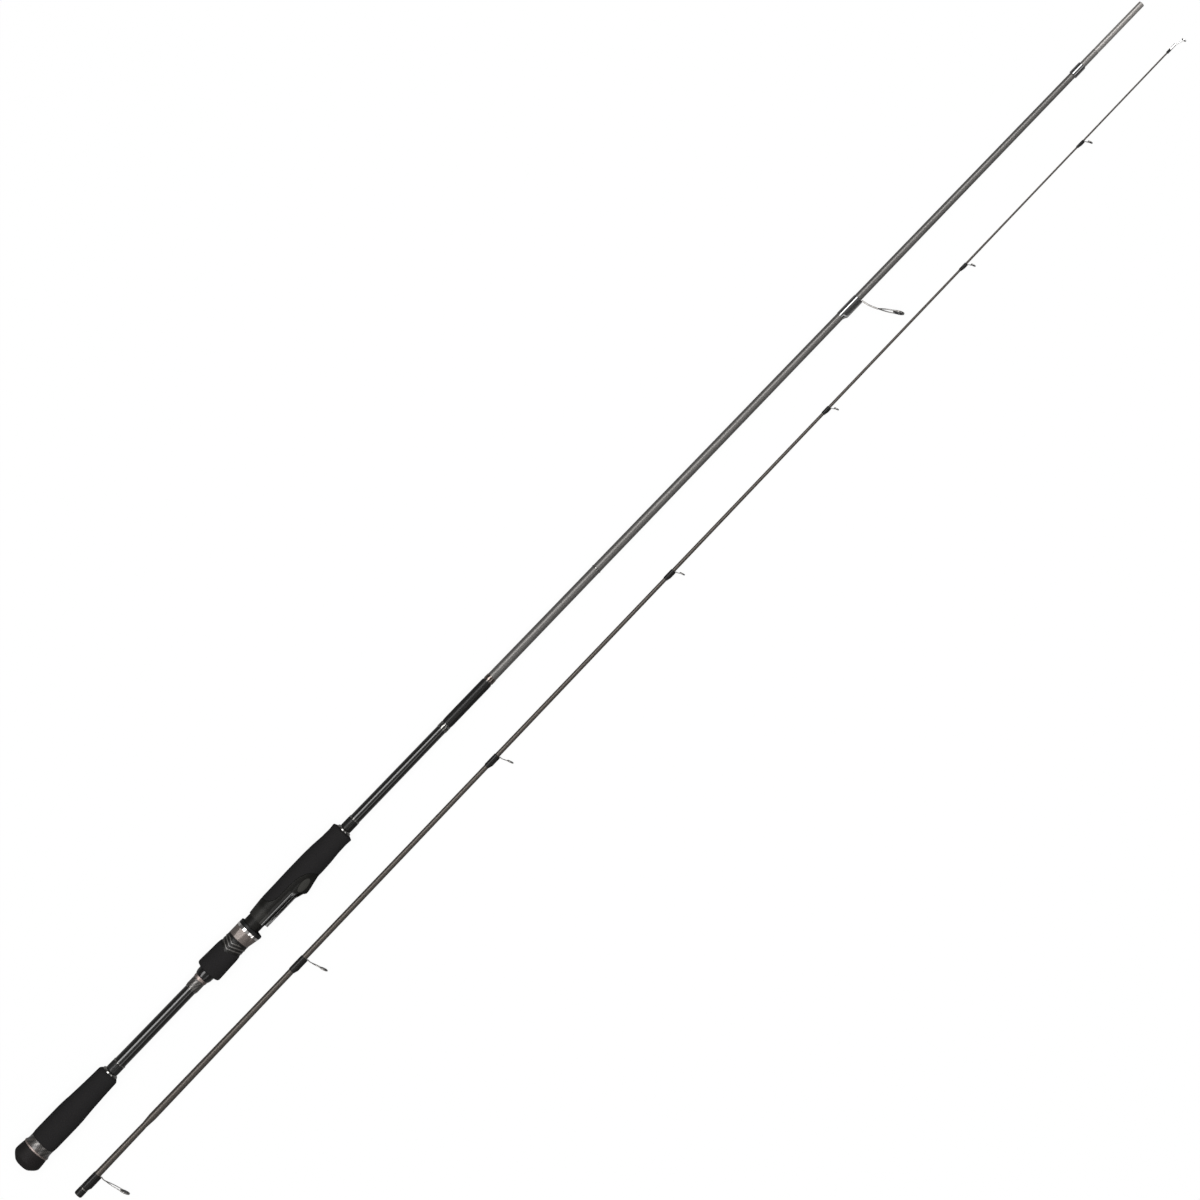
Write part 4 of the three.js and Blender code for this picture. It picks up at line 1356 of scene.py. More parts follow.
@dataclass
class Assembly:
    """A part of the rod that is built in one section and rides on one body."""

    maker: Maker
    carrier: ClassVar[Body] = Body.BUTT

    @property
    def section(self) -> Section:
        """The section it is on."""
        return self.maker.tip if self.carrier is Body.TIP else self.maker.butt

    def place(
        self, name: str, form: Form, finish: Finish, replaces: Sequence[str] = (),
        crease: float = TURNED_CREASE,
    ) -> None:
        """Sets a form down as a piece of this assembly."""
        self.maker.workshop.place(name, form, self.section, self.carrier, finish, replaces, crease)

    def wound(
        self, start: float, radii: Station, turns: float, pitch: float, thread: float, finish: Finish,
        **sizes: int,
    ) -> Form:
        """Winds thread or a screw's ridge about the centre line.

        Args:
            start: where its middle starts.
            radii: its middle's radius at the rear and at the front.
            turns: how often it goes round.
            pitch: the distance between turns.
            thread: its own radius.
            finish: its finish.
            sizes: other inputs of the recipe.

        Returns:
            The winding.
        """
        rear, front = radii
        return self.maker.winding.cook(
            Form(np.zeros((0, 3)), []), self.maker.workshop.material(finish), Turns=turns, Pitch=pitch,
            Rear_Radius=rear, Front_Radius=front, Thread=thread, Start=start, **sizes,
        )

    def trim(self, name: str, node: str, finish: Finish, thread: float, tops: Station) -> None:
        """Makes a trim of bright thread over a core that closes it underneath.

        Args:
            name: the piece's name.
            node: the CAD node that it stands for.
            finish: its finish.
            thread: about how far apart the turns are.
            tops: how far out it reaches at the rear and at the front.
        """
        span = self.section.span(node)
        rear, front = (top - thread / 2 for top in tops)
        turns = max(2.0, math.floor(span.length / thread))
        step = span.length / turns
        start, end, under = span.start + step / 2, span.end - step / 2, step * 0.6
        core = Form.turned([(start, rear), (end, front), (end, front - under), (start, rear - under)])
        winding = self.wound(start, (rear, front), turns - 1, step, step * 0.56, finish)
        self.place(name, Form.joined([winding, core]), finish, [node])

    def sleeve(
        self, node: str, shape: Sequence[Station], finish: Finish, edge: float, longer: float = 0.0
    ) -> None:
        """Makes a turned piece over a CAD node's span.

        Args:
            node: the node it stands for.
            shape: its outline in shares.
            finish: its finish.
            edge: how far its edges are rounded.
            longer: how much further forward it reaches.
        """
        span = self.section.span(node)
        rear, front = self.section.ends(node)
        outline = shaped(span.between(span.start, span.end + longer), shape)
        self.place(f"{node}_turned", sleeve(outline, (rear.inner, front.inner), edge), finish, [node])

    def whipping(self, node: str, finish: Finish) -> None:
        """Makes a whipping that swells softly at both ends.

        Args:
            node: the node it stands for.
            finish: its finish.
        """
        low = min(end.inner for end in self.section.ends(node)) / self.section.span(node).outer
        swell = [(0.04, 0.985), (0.12, 1), (0.5, 0.997), (0.88, 0.993), (0.96, 0.98)]
        self.sleeve(node, [(0, low + 0.003), *swell, (1, low)], finish, 0.1)


def dense(stations: Sequence[Station], spacing: float = 8.0) -> list[Station]:
    """Adds stations to a straight-sided outline, close enough together for its finish.

    Args:
        stations: the outline.
        spacing: about how far apart they are to be.

    Returns:
        The stations.
    """
    result: list[Station] = []
    for (a, low), (b, high) in zip(stations, stations[1:]):
        count = max(1, round((b - a) / spacing))
        result += [(a + (b - a) * i / count, low + (high - low) * i / count) for i in range(count)]
    return [*result, stations[-1]]


@dataclass
class ButtBlank(Assembly):
    """The butt section's carbon blank, stepped down to its male ferrule."""

    bore: float = 1.65
    bore_depth: float = 12.0
    plug_least: float = 2.0
    plug_most: float = 2.75

    def build(self) -> None:
        """Makes the blank."""
        section = self.section
        outside = [(s, r) for s, r in dense(section.outline("butt_blank")) if r > self.plug_least]
        start, (end, nose) = outside[0][0], outside[-1]
        shoulder = max(s for s, r in outside if s < end - 1 and r > self.plug_most)
        profile = [
            (start, 0.0), *((s, r) for s, r in outside if s <= shoulder),
            (shoulder + 0.05, radius_on(outside, shoulder) - 0.1),
            *[(s, r) for s, r in outside if s > shoulder + 0.5][:-1],
            (end - 0.5, nose), (end - 0.12, nose - 0.1), (end, nose - 0.32),
            (end, self.bore), (end - self.bore_depth, self.bore), (end - self.bore_depth, 0.0),
        ]
        whips = section.span("band_front").end, section.span("ferrule_whip").end
        carbon = Blank("butt_carbon", *whips, shoulder)
        self.place("butt_blank_carbon", Form.turned(profile, sides=64), carbon, ["butt_blank"], WOUND_CREASE)


@dataclass
class TipBlank(Assembly):
    """The tip section's carbon blank, its socket open at the rear."""

    carrier = Body.TIP
    socket_depth: float = 77.0
    least: float = 0.6
    edge: float = 0.15
    on_line: float = 0.001

    def build(self) -> None:
        """Makes the blank."""
        section = self.section
        outside = [(s, r) for s, r in dense(section.outline("tip_blank")) if r > self.least]
        start, end = outside[0][0], section.span("tip_blank").end
        floor = start + self.socket_depth
        bore = section.span("tip_blank", before=start + 0.5).inner
        loop = softened([
            (start, bore), *outside[:-1], (end, outside[-1][1]), (end, 0.0),
            (floor, 0.0), (floor, bore - 0.1),
        ], self.edge, steps=3, least=60)
        first = next(i for i, (_, r) in enumerate(loop) if r < self.on_line)
        off_line = [(s, r) for s, r in loop[first:] + loop[:first] if r > self.on_line]
        form = Form.turned([(floor, 0.0), *off_line, (end, 0.0)], sides=48)
        self.place("tip_blank_carbon", form, TIP_CARBON, ["tip_blank"], WOUND_CREASE)


# Outlines, as shares of a span's length and of its outer radius.
SHARES: dict[str, list[Station]] = {
    "cap": [(0, 0.0), (0.002, 0.34), (0.008, 0.45), (0.02, 0.525), (0.1, 0.67), (0.2, 0.81), (0.3, 0.92),
            (0.37, 0.972), (0.42, 0.986), (0.5, 0.988), (0.75, 0.965), (1, 0.925)],
    "butt_ring": [(0, 0.97), (0.3, 0.985), (0.7, 0.985), (1, 0.97)],
    "collar": [(0, 0.985), (0.15, 0.955), (0.35, 0.93), (0.7, 0.922), (1, 0.925)],
    "rear_grip": [(0, 0.97), (0.06, 1), (0.35, 1), (0.43, 0.985), (0.57, 0.918), (0.85, 0.828), (0.968, 0.8),
                  (1, 0.62)],
    "foregrip": [(0, 0.83), (0.05, 0.872), (0.17, 0.96), (0.3, 0.975), (0.5, 1), (0.62, 1), (0.735, 0.968),
                 (0.856, 0.885), (0.93, 0.87), (0.985, 0.905), (1, 0.66)],
    "nut_grip": [(0, 0.84), (0.012, 0.91), (0.035, 0.965), (0.065, 0.992), (0.1, 1), (0.16, 1), (0.3, 0.993),
                 (0.5, 0.978), (0.7, 0.964), (0.86, 0.952), (0.94, 0.93), (1, 0.9)],
    "fixed_hood": [(0, 0.88), (0.12, 0.94), (0.29, 0.985), (0.41, 1), (0.47, 1), (0.54, 0.978),
                   (0.635, 0.92), (0.78, 0.815), (0.926, 0.725), (1, 0.67)],
    "hood_lip": [(0, 0.66), (0.2, 0.75), (0.42, 0.83), (0.65, 0.915), (0.82, 0.985), (0.88, 1),
                 (0.95, 0.985), (1, 0.93)],
    "tail_ring": [(0, 0.96), (0.15, 0.985), (0.3, 1), (0.8, 1), (1, 0.97)],
    "tail_cone": [(0, 0.93), (0.2, 1.0), (0.45, 1.05), (1, 1.07)],
    "check": [(0, 1), (0.5, 0.96), (1, 0.76)],
}


def sleeve(outline: Sequence[Station], bores: Station, softness: float = 0.3, sides: int = 96) -> Form:
    """Makes a turned sleeve with soft edges.

    Args:
        outline: its outside.
        bores: its bore at the rear and at the front.
        softness: how far its edges are rounded.
        sides: how many facets go round.

    Returns:
        The form.
    """
    rear, front = bores
    loop = [*outline, (outline[-1][0], front), (outline[0][0], rear)]
    return Form.turned(softened(loop, softness), sides)


@dataclass
class Handle(Assembly):
    """The turned pieces of the handle, behind the reel seat and in front of the foregrip."""

    thread: float = 0.28

    def build(self) -> None:
        """Makes the cap, the rings, the grip and the whippings."""
        self.cap()
        flat: list[Station] = [(0, 1), (0.5, 1), (1, 1)]
        self.sleeve("butt_ring", SHARES["butt_ring"], BRONZE, 0.25)
        self.sleeve("butt_collar", SHARES["collar"], WEAVE, 0.25)
        self.sleeve("rear_grip", SHARES["rear_grip"], FOAM, 0.6)
        self.sleeve("tail_collar", flat, WEAVE, 0.2)
        self.sleeve("rear_check", SHARES["check"], POLISHED, 0.18)
        self.sleeve("foregrip_check", SHARES["check"], POLISHED, 0.18)
        self.sleeve("tail_ring", SHARES["tail_ring"], BRONZE, 0.18)
        self.sleeve("tail_cone", SHARES["tail_cone"], CONE_LACQUER, 0.18, NUT_INSET)
        self.whipping("rear_wrap", SATIN_WHIPPING)
        self.whipping("foregrip_wrap", WHIPPING)
        for node in ("rear_trim_ring", "split_trim_ring", "foregrip_trim_ring"):
            top = self.section.span(node).outer
            self.trim(f"{node}_thread", node, SILVER_THREAD, self.thread, (top, top))

    def cap(self) -> None:
        """Makes the rubber cap, its socket closed round the blank."""
        span, blank = self.section.span("butt_cap"), self.section.span("butt_blank")
        socket, floor = blank.outer + GLUE_LINE, blank.start - GLUE_LINE
        outside = softened([*shaped(span, SHARES["cap"], count=90), (span.end, socket)], 0.5)[1:]
        middle = (span.start, 0.0)
        profile = [middle, *(p for p in outside if p != middle), (floor, socket), (floor, 0.0)]
        self.place("butt_cap_rubber", Form.turned(profile), RUBBER, ["butt_cap"])


@dataclass
class Bands(Assembly):
    """The trims and the long whipping on the bare blank in front of the handle."""

    thread: float = 0.3

    def build(self) -> None:
        """Makes the bands, the long whipping and the ferrule's whipping."""
        for node in ("band_rear", "band_front", "marker_band"):
            rear, front = self.section.ends(node)
            finish = COPPER_THREAD if node == "band_front" else SILVER_THREAD
            self.trim(f"{node}_thread", node, finish, self.thread, (rear.outer, front.outer))
        self.whipping("label_wrap", WHIPPING)
        self.whipping("ferrule_whip", GLOSS_WHIPPING)


@dataclass
class ReelSeat(Assembly):
    """The seat's body with its foot bed and fixed hood, the foregrip round it, and the finger pad."""

    hood_travel: float = 7.0
    hood_stop: float = 0.5
    bed_length: float = 40.6
    bed_width: float = 13.0
    bed_floor: float = 0.6
    pocket_depth: float = 14.0
    pocket_toe: float = 0.55
    hood_offset: float = 5.0
    hood_radius: float = 9.2
    hood_wall: float = 2.5
    hood_reach: float = 20.0
    mouth_lip: float = 8.5
    mouth: tuple[Station, ...] = ((-10.0, 7.4), (-7.7, 8.2), (0.3, 10.9), (4.0, 14.6))
    rake_top: float = 20.0
    cheek_start: float = -4.5
    pad_place: float = 7.6
    pad_length: float = 14.4
    pad_width: float = 6.4
    pad_turn: float = 54.0
    pad_thickness: float = 0.9
    pad_from: float = 0.6
    rail: tuple[Station, ...] = (
        (5.9, 5.0), (5.9, 6.2), (6.5, 6.35), (7.5, 8.2), (8.0, 8.35), (8.6, 8.0), (9.25, 6.9), (9.45, 5.0),
    )
    side_length: float = 64.0
    barrel_wall: float = 2.0
    thread_depth: float = 0.75
    thread_pitch: float = 3.0
    thread_length: float = 34.0
    groove_depth: float = 0.8
    groove_width: float = 3.0
    grip_depth: float = 1.003
    parting: tuple[Station, ...] = (
        (0.235, -1.15), (0.25, -0.7), (0.265, -0.38), (0.311, -0.03), (0.383, 0.15), (0.497, 0.195),
        (0.62, 0.2), (0.741, 0.245), (0.811, 0.352), (0.88, 0.495), (0.9375, 0.76), (1, 1.15),
    )

    def __post_init__(self) -> None:
        """Reads where the seat is from its nodes."""
        section = self.section
        self.seat = section.span("reel_seat")
        grip, hood = section.span("foregrip"), section.span("moving_hood")
        reach = -section.corners("foregrip")[:, 2].min()
        self.hood_start = hood.start
        self.body_start = hood.end + self.hood_travel + self.hood_stop
        self.grip = Span(self.body_start, grip.end, grip.inner, reach * self.grip_depth)
        self.barrel = self.seat.inner + self.barrel_wall + self.thread_depth
        self.bed = self.seat.inner + self.bed_floor
        self.mouth_at = self.body_start + self.bed_length

    def guide_side(self, gap: float) -> Form:
        """What lies on the guides' side of the line between the body and the foregrip.

        Args:
            gap: how far the line is moved forward and in.

        Returns:
            The form.
        """
        radius = self.grip.outer
        line = curve_through([
            (self.grip.start + along * self.side_length + gap, share * radius - gap, 0.0)
            for along, share in self.parting
        ], 60)
        far, rear = 2.2 * radius, self.grip.start - 1
        outline = [*line[:, :2], (line[-1, 0], far), (rear, far), (rear, line[0, 1])]
        return Form.prism(outline, 2 * radius)

    def fixed_hood(self, growth: float) -> Form:
        """Turns the fixed hood's arch over the foot.

        Args:
            growth: how much further it reaches than the hood's outside.

        Returns:
            The form.
        """
        start, end = self.mouth_at - self.mouth_lip, self.mouth_at + self.hood_reach
        outline = shaped(Span(start, end, 0, self.hood_radius + growth), SHARES["fixed_hood"], count=50)
        return Form.solid(outline, self.hood_offset)

    def mouth_rake(self) -> Form:
        """What the fixed hood's raked mouth leaves open above its cheeks."""
        line = [(self.mouth_at + along, out) for along, out in self.mouth]
        return Form.prism([*line, (line[-1][0], self.rake_top), (line[0][0], self.rake_top)], self.rake_top)

    def pad_ovals(self, growth: float) -> Form:
        """Draws out the ovals on the fixed hood's two flanks that the finger pad fills.

        Args:
            growth: how much larger they are all round.

        Returns:
            The form.
        """
        middle = self.mouth_at + self.pad_place
        length, width = self.pad_length / 2 + growth, self.pad_width / 2 + growth
        out = self.hood_offset + self.hood_radius * self.pad_from
        angles = np.linspace(0, TURN, 72, endpoint=False)
        loop = [(middle + length * math.cos(a), width * math.sin(a), out) for a in angles]
        oval = Form.drawn(loop, (0.0, 0.0, self.hood_radius))
        axis = Matrix.Translation((0.0, 0.0, self.hood_offset))
        turns = [Matrix.Rotation(math.radians(hand * self.pad_turn), 4, "X") for hand in HANDS]
        return Form.joined(oval.moved(axis @ turn @ axis.inverted()) for turn in turns)

    def pocket(self) -> Form:
        """The reel foot's pocket under the fixed hood, its roof falling towards the front."""
        roof = self.hood_radius - self.hood_wall
        start, end = self.mouth_at + self.cheek_start - 0.5, self.mouth_at + self.pocket_depth
        middle = self.mouth_at + self.pocket_depth / 2
        arch = Form.solid([(start, roof), (middle, roof), (end, self.pocket_toe * roof)], self.hood_offset)
        gap = Form.block((start - 1, end + 1), (self.bed, FAR), self.bed_width / 2)
        return worked(arch, [(Tool.KEEP, gap)])

    def rails(self) -> Form:
        """The two rails beside the foot bed."""
        along = self.body_start + 0.4, self.mouth_at + self.cheek_start + 1
        outlines = ([(hand * side, out) for side, out in self.rail] for hand in HANDS)
        return Form.joined(Form.bar(outline, along) for outline in outlines)

    def outside(self) -> Form:
        """The outside that the body and the foregrip share."""
        return Form.solid(shaped(self.grip, SHARES["foregrip"], count=90))

    def barrel_form(self) -> Form:
        """The barrel behind the body, with its flat for the reel's foot and its key's groove."""
        start, end, bore, wide = self.seat.start, self.grip.start + 0.2, self.seat.inner, self.barrel
        step, root = start + self.thread_length, wide - self.thread_depth
        stock = Form.turned(softened([
            (start, bore), (start, root), (step, root), (step + 0.7, wide), (end, wide), (end, bore),
        ], 0.3))
        groove = (-FAR, self.groove_depth - wide), self.groove_width / 2
        return worked(stock, [
            (Tool.CUT, Form.block((self.hood_start + 1, end + 1), (self.bed, FAR), wide)),
            (Tool.CUT, Form.block((start - 1, self.grip.start), *groove)),
        ])

    def body(self) -> Form:
        """The seat's body with its rails and fixed hood, softened as one moulding."""
        start, front, bed_front = self.grip.start, self.seat.end, self.mouth_at + self.cheek_start
        shell = worked(self.outside(), [
            (Tool.KEEP, self.guide_side(0.0)),
            (Tool.ADD, worked(self.fixed_hood(0.0), [(Tool.CUT, self.mouth_rake())])),
            (Tool.ADD, Form.cylinder(start, front, self.barrel)),
            (Tool.ADD, self.rails()),
        ])
        pad_floor = self.fixed_hood(-self.pad_thickness - GLUE_LINE)
        pad_beds = worked(self.pad_ovals(0.12), [(Tool.CUT, pad_floor)])
        hollow = worked(shell, [
            (Tool.CUT, Form.cylinder(start - 1, front + 1, self.seat.inner)),
            (Tool.CUT, Form.block((start - 2, bed_front), (self.bed, FAR), self.bed_width / 2)),
            (Tool.CUT, self.pocket()),
            (Tool.CUT, pad_beds),
        ])
        return moulded(hollow, voxel=0.24, passes=4, kept=0.5)

    def foregrip(self) -> Form:
        """The foregrip's foam, cut away for the body and the fixed hood and bored for the barrel."""
        start, end, front = self.grip.start - 1, self.grip.end + 1, self.seat.end + GLUE_LINE
        wide, narrow = self.barrel + GLUE_LINE, self.grip.inner
        bore = Form.solid([(start, wide), (front, wide), (front, narrow), (end, narrow)])
        cuts = self.guide_side(0.15), self.fixed_hood(GLUE_LINE), bore
        return moulded(worked(self.outside(), [(Tool.CUT, form) for form in cuts]), voxel=0.34, passes=4)

    def build(self) -> None:
        """Makes the body, its thread, the foregrip and the pad."""
        rail_end = self.mouth_at + self.cheek_start + 3
        plastic = SeatPlastic(self.bed, self.bed_width / 2, rail_end, self.body_start)
        self.place("reel_seat_body", self.body(), plastic, ["reel_seat"], MOULDED_CREASE)
        self.place("reel_seat_barrel", self.barrel_form(), plastic)
        pitch, depth = self.thread_pitch, self.thread_depth
        radii, turns = (self.barrel - depth,) * 2, self.thread_length / pitch - 1
        thread = self.wound(self.seat.start + pitch / 2, radii, turns, pitch, depth, NYLON, Sides=10)
        self.place("reel_seat_thread", thread, NYLON)
        self.place("foregrip_foam", self.foregrip(), FOAM, ["foregrip"], MOULDED_CREASE)
        pad = worked(self.pad_ovals(0.0), [
            (Tool.KEEP, self.fixed_hood(0.0)),
            (Tool.CUT, self.fixed_hood(-self.pad_thickness)),
        ])
        pad = moulded(pad, voxel=0.2, passes=3)
        self.place("finger_pad_rubber", pad, PAD_RUBBER, ["finger_pad"], MOULDED_CREASE)
        self.maker.workshop.keep("seat_arbor", TAPE)


@dataclass
class LockNut(Assembly):
    """The lock nut's threaded core, its foam sleeve, and its band of raised scales."""

    carrier = Body.NUT
    apex: float = 85.0
    notch: float = 4.2
    retreat: float = 2.6
    bend_from: float = 7.0
    scales: int = 3
    scale_start: float = 0.2
    scale_pitch: float = 3.1
    scale_width: float = 1.5
    scale_height: float = 0.26
    plain_strip: float = 1.9
    thread_pitch: float = 3.0
    groove_place: float = 0.6
    groove_depth: float = 0.25
    reach: float = 14.0

    def build(self) -> None:
        """Makes the core, the sleeve, the band and its scales."""
        self.core()
        self.foam()
        self.band()

    def core(self) -> None:
        """Makes the threaded core."""
        span, step = self.section.span("lock_nut"), self.section.span("nut_grip").end
        front = self.section.ends("lock_nut")[1]
        start = span.start + NUT_INSET + 0.15
        outline = [(start, span.outer), (step, span.outer), (step, front.outer), (span.end, front.outer)]
        shell = sleeve(outline, (front.inner, front.inner))
        between_ridges = span.start - GLUE_LINE + 2 * self.thread_pitch
        radii = (front.inner + 0.15,) * 2
        thread = self.wound(between_ridges, radii, 4.0, self.thread_pitch, 0.5, NYLON, Sides=8)
        self.place("lock_nut_core", Form.joined([shell, thread]), NYLON, ["lock_nut"])

    def zigzag(self, corners: np.ndarray) -> np.ndarray:
        """How far forward the foam's edge runs at each corner's place round the nut."""
        turn = np.arctan2(corners[:, 1], corners[:, 2]) - math.radians(self.apex)
        return self.notch * np.abs(np.sin(turn))

    def foam(self) -> None:
        """Makes the foam sleeve, its front edge cut in a zigzag."""
        span = self.section.span("nut_grip")
        end = span.end - self.retreat
        outline = shaped(span.between(span.start + NUT_INSET, end), SHARES["nut_grip"])
        form = sleeve(outline, (span.inner, span.inner), softness=0.35, sides=144)
        share = np.clip((form.corners[:, 0] - (end - self.bend_from)) / self.bend_from, 0, 1)
        form.corners[:, 0] += self.zigzag(form.corners) * share
        self.place("nut_grip_foam", form, FOAM, ["nut_grip"])

    def band(self) -> None:
        """Makes the band, with scales that follow the foam's edge and a plain grooved strip in front."""
        span = self.section.span("nut_band")
        front, rear, top = span.end - self.plain_strip, span.start - self.retreat - 0.4, span.outer
        groove, low = front + self.groove_place, top - self.groove_depth
        outline = [
            (rear, top), (groove, top), (groove + 0.15, low), (groove + 0.35, low), (groove + 0.5, top),
            (span.end, top),
        ]
        ring = sleeve(outline, (top - 0.3, span.inner), softness=0.15)
        self.place("nut_band_ring", ring, BAND, ["nut_band"])
        limits = Form.cylinder(rear, front, self.reach)
        self.place("nut_band_scales", worked(self.chevrons(span), [(Tool.KEEP, limits)]), HIGHLIT_SCALES)

    def chevrons(self, span: Span) -> Form:
        """Makes the rows of scales, each a ridge that follows the zigzag all the way round the nut.

        Args:
            span: what the band covers.

        Returns:
            The rows.
        """
        half, top, foot = self.scale_width / 2, span.outer + self.scale_height, span.outer - 0.15
        profile = softened([(-half, foot), (-half * 0.6, top), (half * 0.45, top), (half, foot)], 0.15, 2)
        rings = []
        for angle in np.linspace(0, TURN, 144, endpoint=False):
            side, out = math.sin(angle), math.cos(angle)
            start = span.start + self.scale_start + self.zigzag(np.array([[0.0, side, out]]))[0]
            rings.append([(start + a, r * side, r * out) for a, r in profile])
        return stacking_recipe().cook(
            Form.grid(np.array(rings)), self.maker.workshop.material(HIGHLIT_SCALES), Count=self.scales,
            Spacing=self.scale_pitch,
        )


@dataclass
class MovingHood(Assembly):
    """The moving hood's metal jacket, its dark nose with the lip over the foot, and its keyed liner."""

    carrier = Body.HOOD
    lip_offset: float = 4.6
    lip_radius: float = 7.9
    wall: float = 0.8
    end_wall: float = 1.0
    jacket: float = 0.785
    barrel_wall: float = 0.72
    step: float = 0.05
    facet_depth: float = 0.42
    facet_slant: float = 2.0
    rim: float = 2.4
    rim_height: float = 0.06
    voxel: float = 0.16

    def __post_init__(self) -> None:
        """Reads where the hood is from its nodes."""
        self.span = self.section.span("moving_hood")
        self.bore = self.section.span("hood_liner").outer + GLUE_LINE
        self.radius = self.bore + self.barrel_wall
        self.front = self.span.at(self.jacket)

    def lip(self, radius: float, start: float, end: float) -> Form:
        """The arch over the reel foot."""
        return Form.solid(shaped(Span(start, end, 0, radius), SHARES["hood_lip"], count=30), self.lip_offset)

    def part(self, thinner: float, start: float, end: float) -> Form:
        """Makes the hood between two places, hollow for the barrel and the foot.

        Args:
            thinner: how much less than the jacket it reaches out.
            start: where the part starts.
            end: where it ends.

        Returns:
            The form.
        """
        low, high = self.span.start, self.span.end
        whole = worked(Form.cylinder(low, high, self.radius - thinner), [
            (Tool.ADD, self.lip(self.lip_radius - thinner / 2, low, high)),
            (Tool.CUT, Form.cylinder(low - 1, high + 1, self.bore)),
            (Tool.CUT, self.lip(self.lip_radius - self.wall, low + self.end_wall, high + 1)),
        ])
        return worked(whole, [(Tool.KEEP, Form.block((start, end), (-FAR, FAR), FAR))])

    def facet(self, hand: int) -> Form:
        """Finds what a flat on one side of the jacket cuts away, widening towards the front.

        Args:
            hand: the side.

        Returns:
            The form.
        """
        half = 5.0
        block = Form.block((self.span.start - 2, self.front - self.rim), (-12, 12), half)
        turn = Matrix.Rotation(math.radians(-hand * self.facet_slant), 4, "Z")
        along = (self.span.start + self.front) / 2
        middle = Vector((along, hand * (self.radius - self.facet_depth + half), 0.0))
        return block.moved(Matrix.Translation(middle) @ turn @ Matrix.Translation((-along, 0.0, 0.0)))

    def build(self) -> None:
        """Makes the jacket, its bright rim and the nose."""
        low, front = self.span.start - 1, self.front
        jacket = worked(self.part(0.0, low, front), [(Tool.CUT, self.facet(hand)) for hand in HANDS])
        jacket = moulded(jacket, self.voxel, passes=3)
        self.place("moving_hood_jacket", jacket, HOOD_METAL, ["moving_hood"], MOULDED_CREASE)
        self.place("moving_hood_rim", self.part(-self.rim_height, front - self.rim, front - 0.1), HOOD_RIM)
        nose = self.part(self.step, front + 0.05, self.span.end + 1)
        self.place("moving_hood_nose", moulded(nose, self.voxel, passes=3), NOSE, crease=MOULDED_CREASE)
        self.maker.workshop.keep("hood_liner", NYLON)


@dataclass(frozen=True)
class GuideSizes:
    """One guide's sizes: its ring ahead of the whipping and out from the centre line, and its wire."""

    ahead: float
    out: float
    radius: float
    lean: float
    gauge: float
    parting: float


GUIDES = (
    GuideSizes(13.4, 34, 4.8, 30, 1.2, 0.5),
    GuideSizes(5, 26.5, 4.47, 20, 0.9, 0.2),
    GuideSizes(4, 18.3, 3.6, 18, 0.8, 0.25),
    GuideSizes(3.6, 11.6, 2.9, 18, 0.7, 0.3),
    GuideSizes(3, 7.2, 2.4, 16, 0.6, 0.3),
    GuideSizes(3, 5.4, 2.2, 16, 0.5, 0.3),
    GuideSizes(3, 5.2, 2.2, 16, 0.5, 0.3),
    GuideSizes(3, 5.0, 2.2, 16, 0.5, 0.3),
)


@dataclass
class Ringed(Assembly):
    """What a guide and the tip-top share: a ceramic ring in a metal holder, and the arms to it."""

    holder: float = 0.16
    insert: float = 0.2
    depth_share: float = 0.3
    depth_more: float = 0.5
    holder_depth: float = 0.7
    holder_gap: float = 0.02
    bend_place: float = 0.4
    bend_width: float = 0.75

    def ring(
        self, centre: Vector, radius: float, lean: float, softness: Station, sides: int
    ) -> tuple[Form, Form]:
        """Makes a leaning ring and its holder.

        Args:
            centre: the middle of both.
            radius: the holder's radius.
            lean: how far they lean, in degrees.
            softness: how round the ring's edges are, as a share of its depth, and the holder's.
            sides: how many facets go round.

        Returns:
            The ring and the holder.
        """
        matrix = Matrix.Translation(centre) @ Matrix.Rotation(math.radians(lean), 4, "Y")
        depth, outer = radius * self.depth_share + self.depth_more, radius * (1 - self.holder)
        forms = []
        for inner, reach, thick, edge in (
            (outer - radius * self.insert, outer, depth, depth * softness[0]),
            (outer + self.holder_gap, radius, depth * self.holder_depth, softness[1]),
        ):
            half = thick / 2
            loop = softened([(-half, inner), (-half, reach), (half, reach), (half, inner)], edge, 6)
            forms.append(Form.turned(loop, sides).moved(matrix))
        return forms[0], forms[1]

    def bent_wire(self, knots: Sequence[Vector], gauge: float, spacing: float = 0.4) -> Form:
        """Bends a round wire.

        Args:
            knots: the places it goes through.
            gauge: its radius.
            spacing: how far apart its rings of corners are.

        Returns:
            The wire.
        """
        line = curve_through(knots, count=20)
        path = bpy.data.meshes.new("path")
        path.from_pydata(line.tolist(), [(i, i + 1) for i in range(len(line) - 1)], [])
        material = self.maker.workshop.material(FRAME_METAL)
        return self.maker.wire.cook(path, material, Spacing=spacing, Gauge=gauge)

    def elbow(self, start: Vector, end: Vector, hand: int, radius: float) -> Vector:
        """Finds where an arm bends out to one side of its ring.

        Args:
            start: where the arm starts.
            end: where it meets the ring.
            hand: which side it is on.
            radius: the ring's radius.

        Returns:
            The place.
        """
        bend = start.lerp(end, self.bend_place)
        bend.y = hand * radius * self.bend_width
        return bend


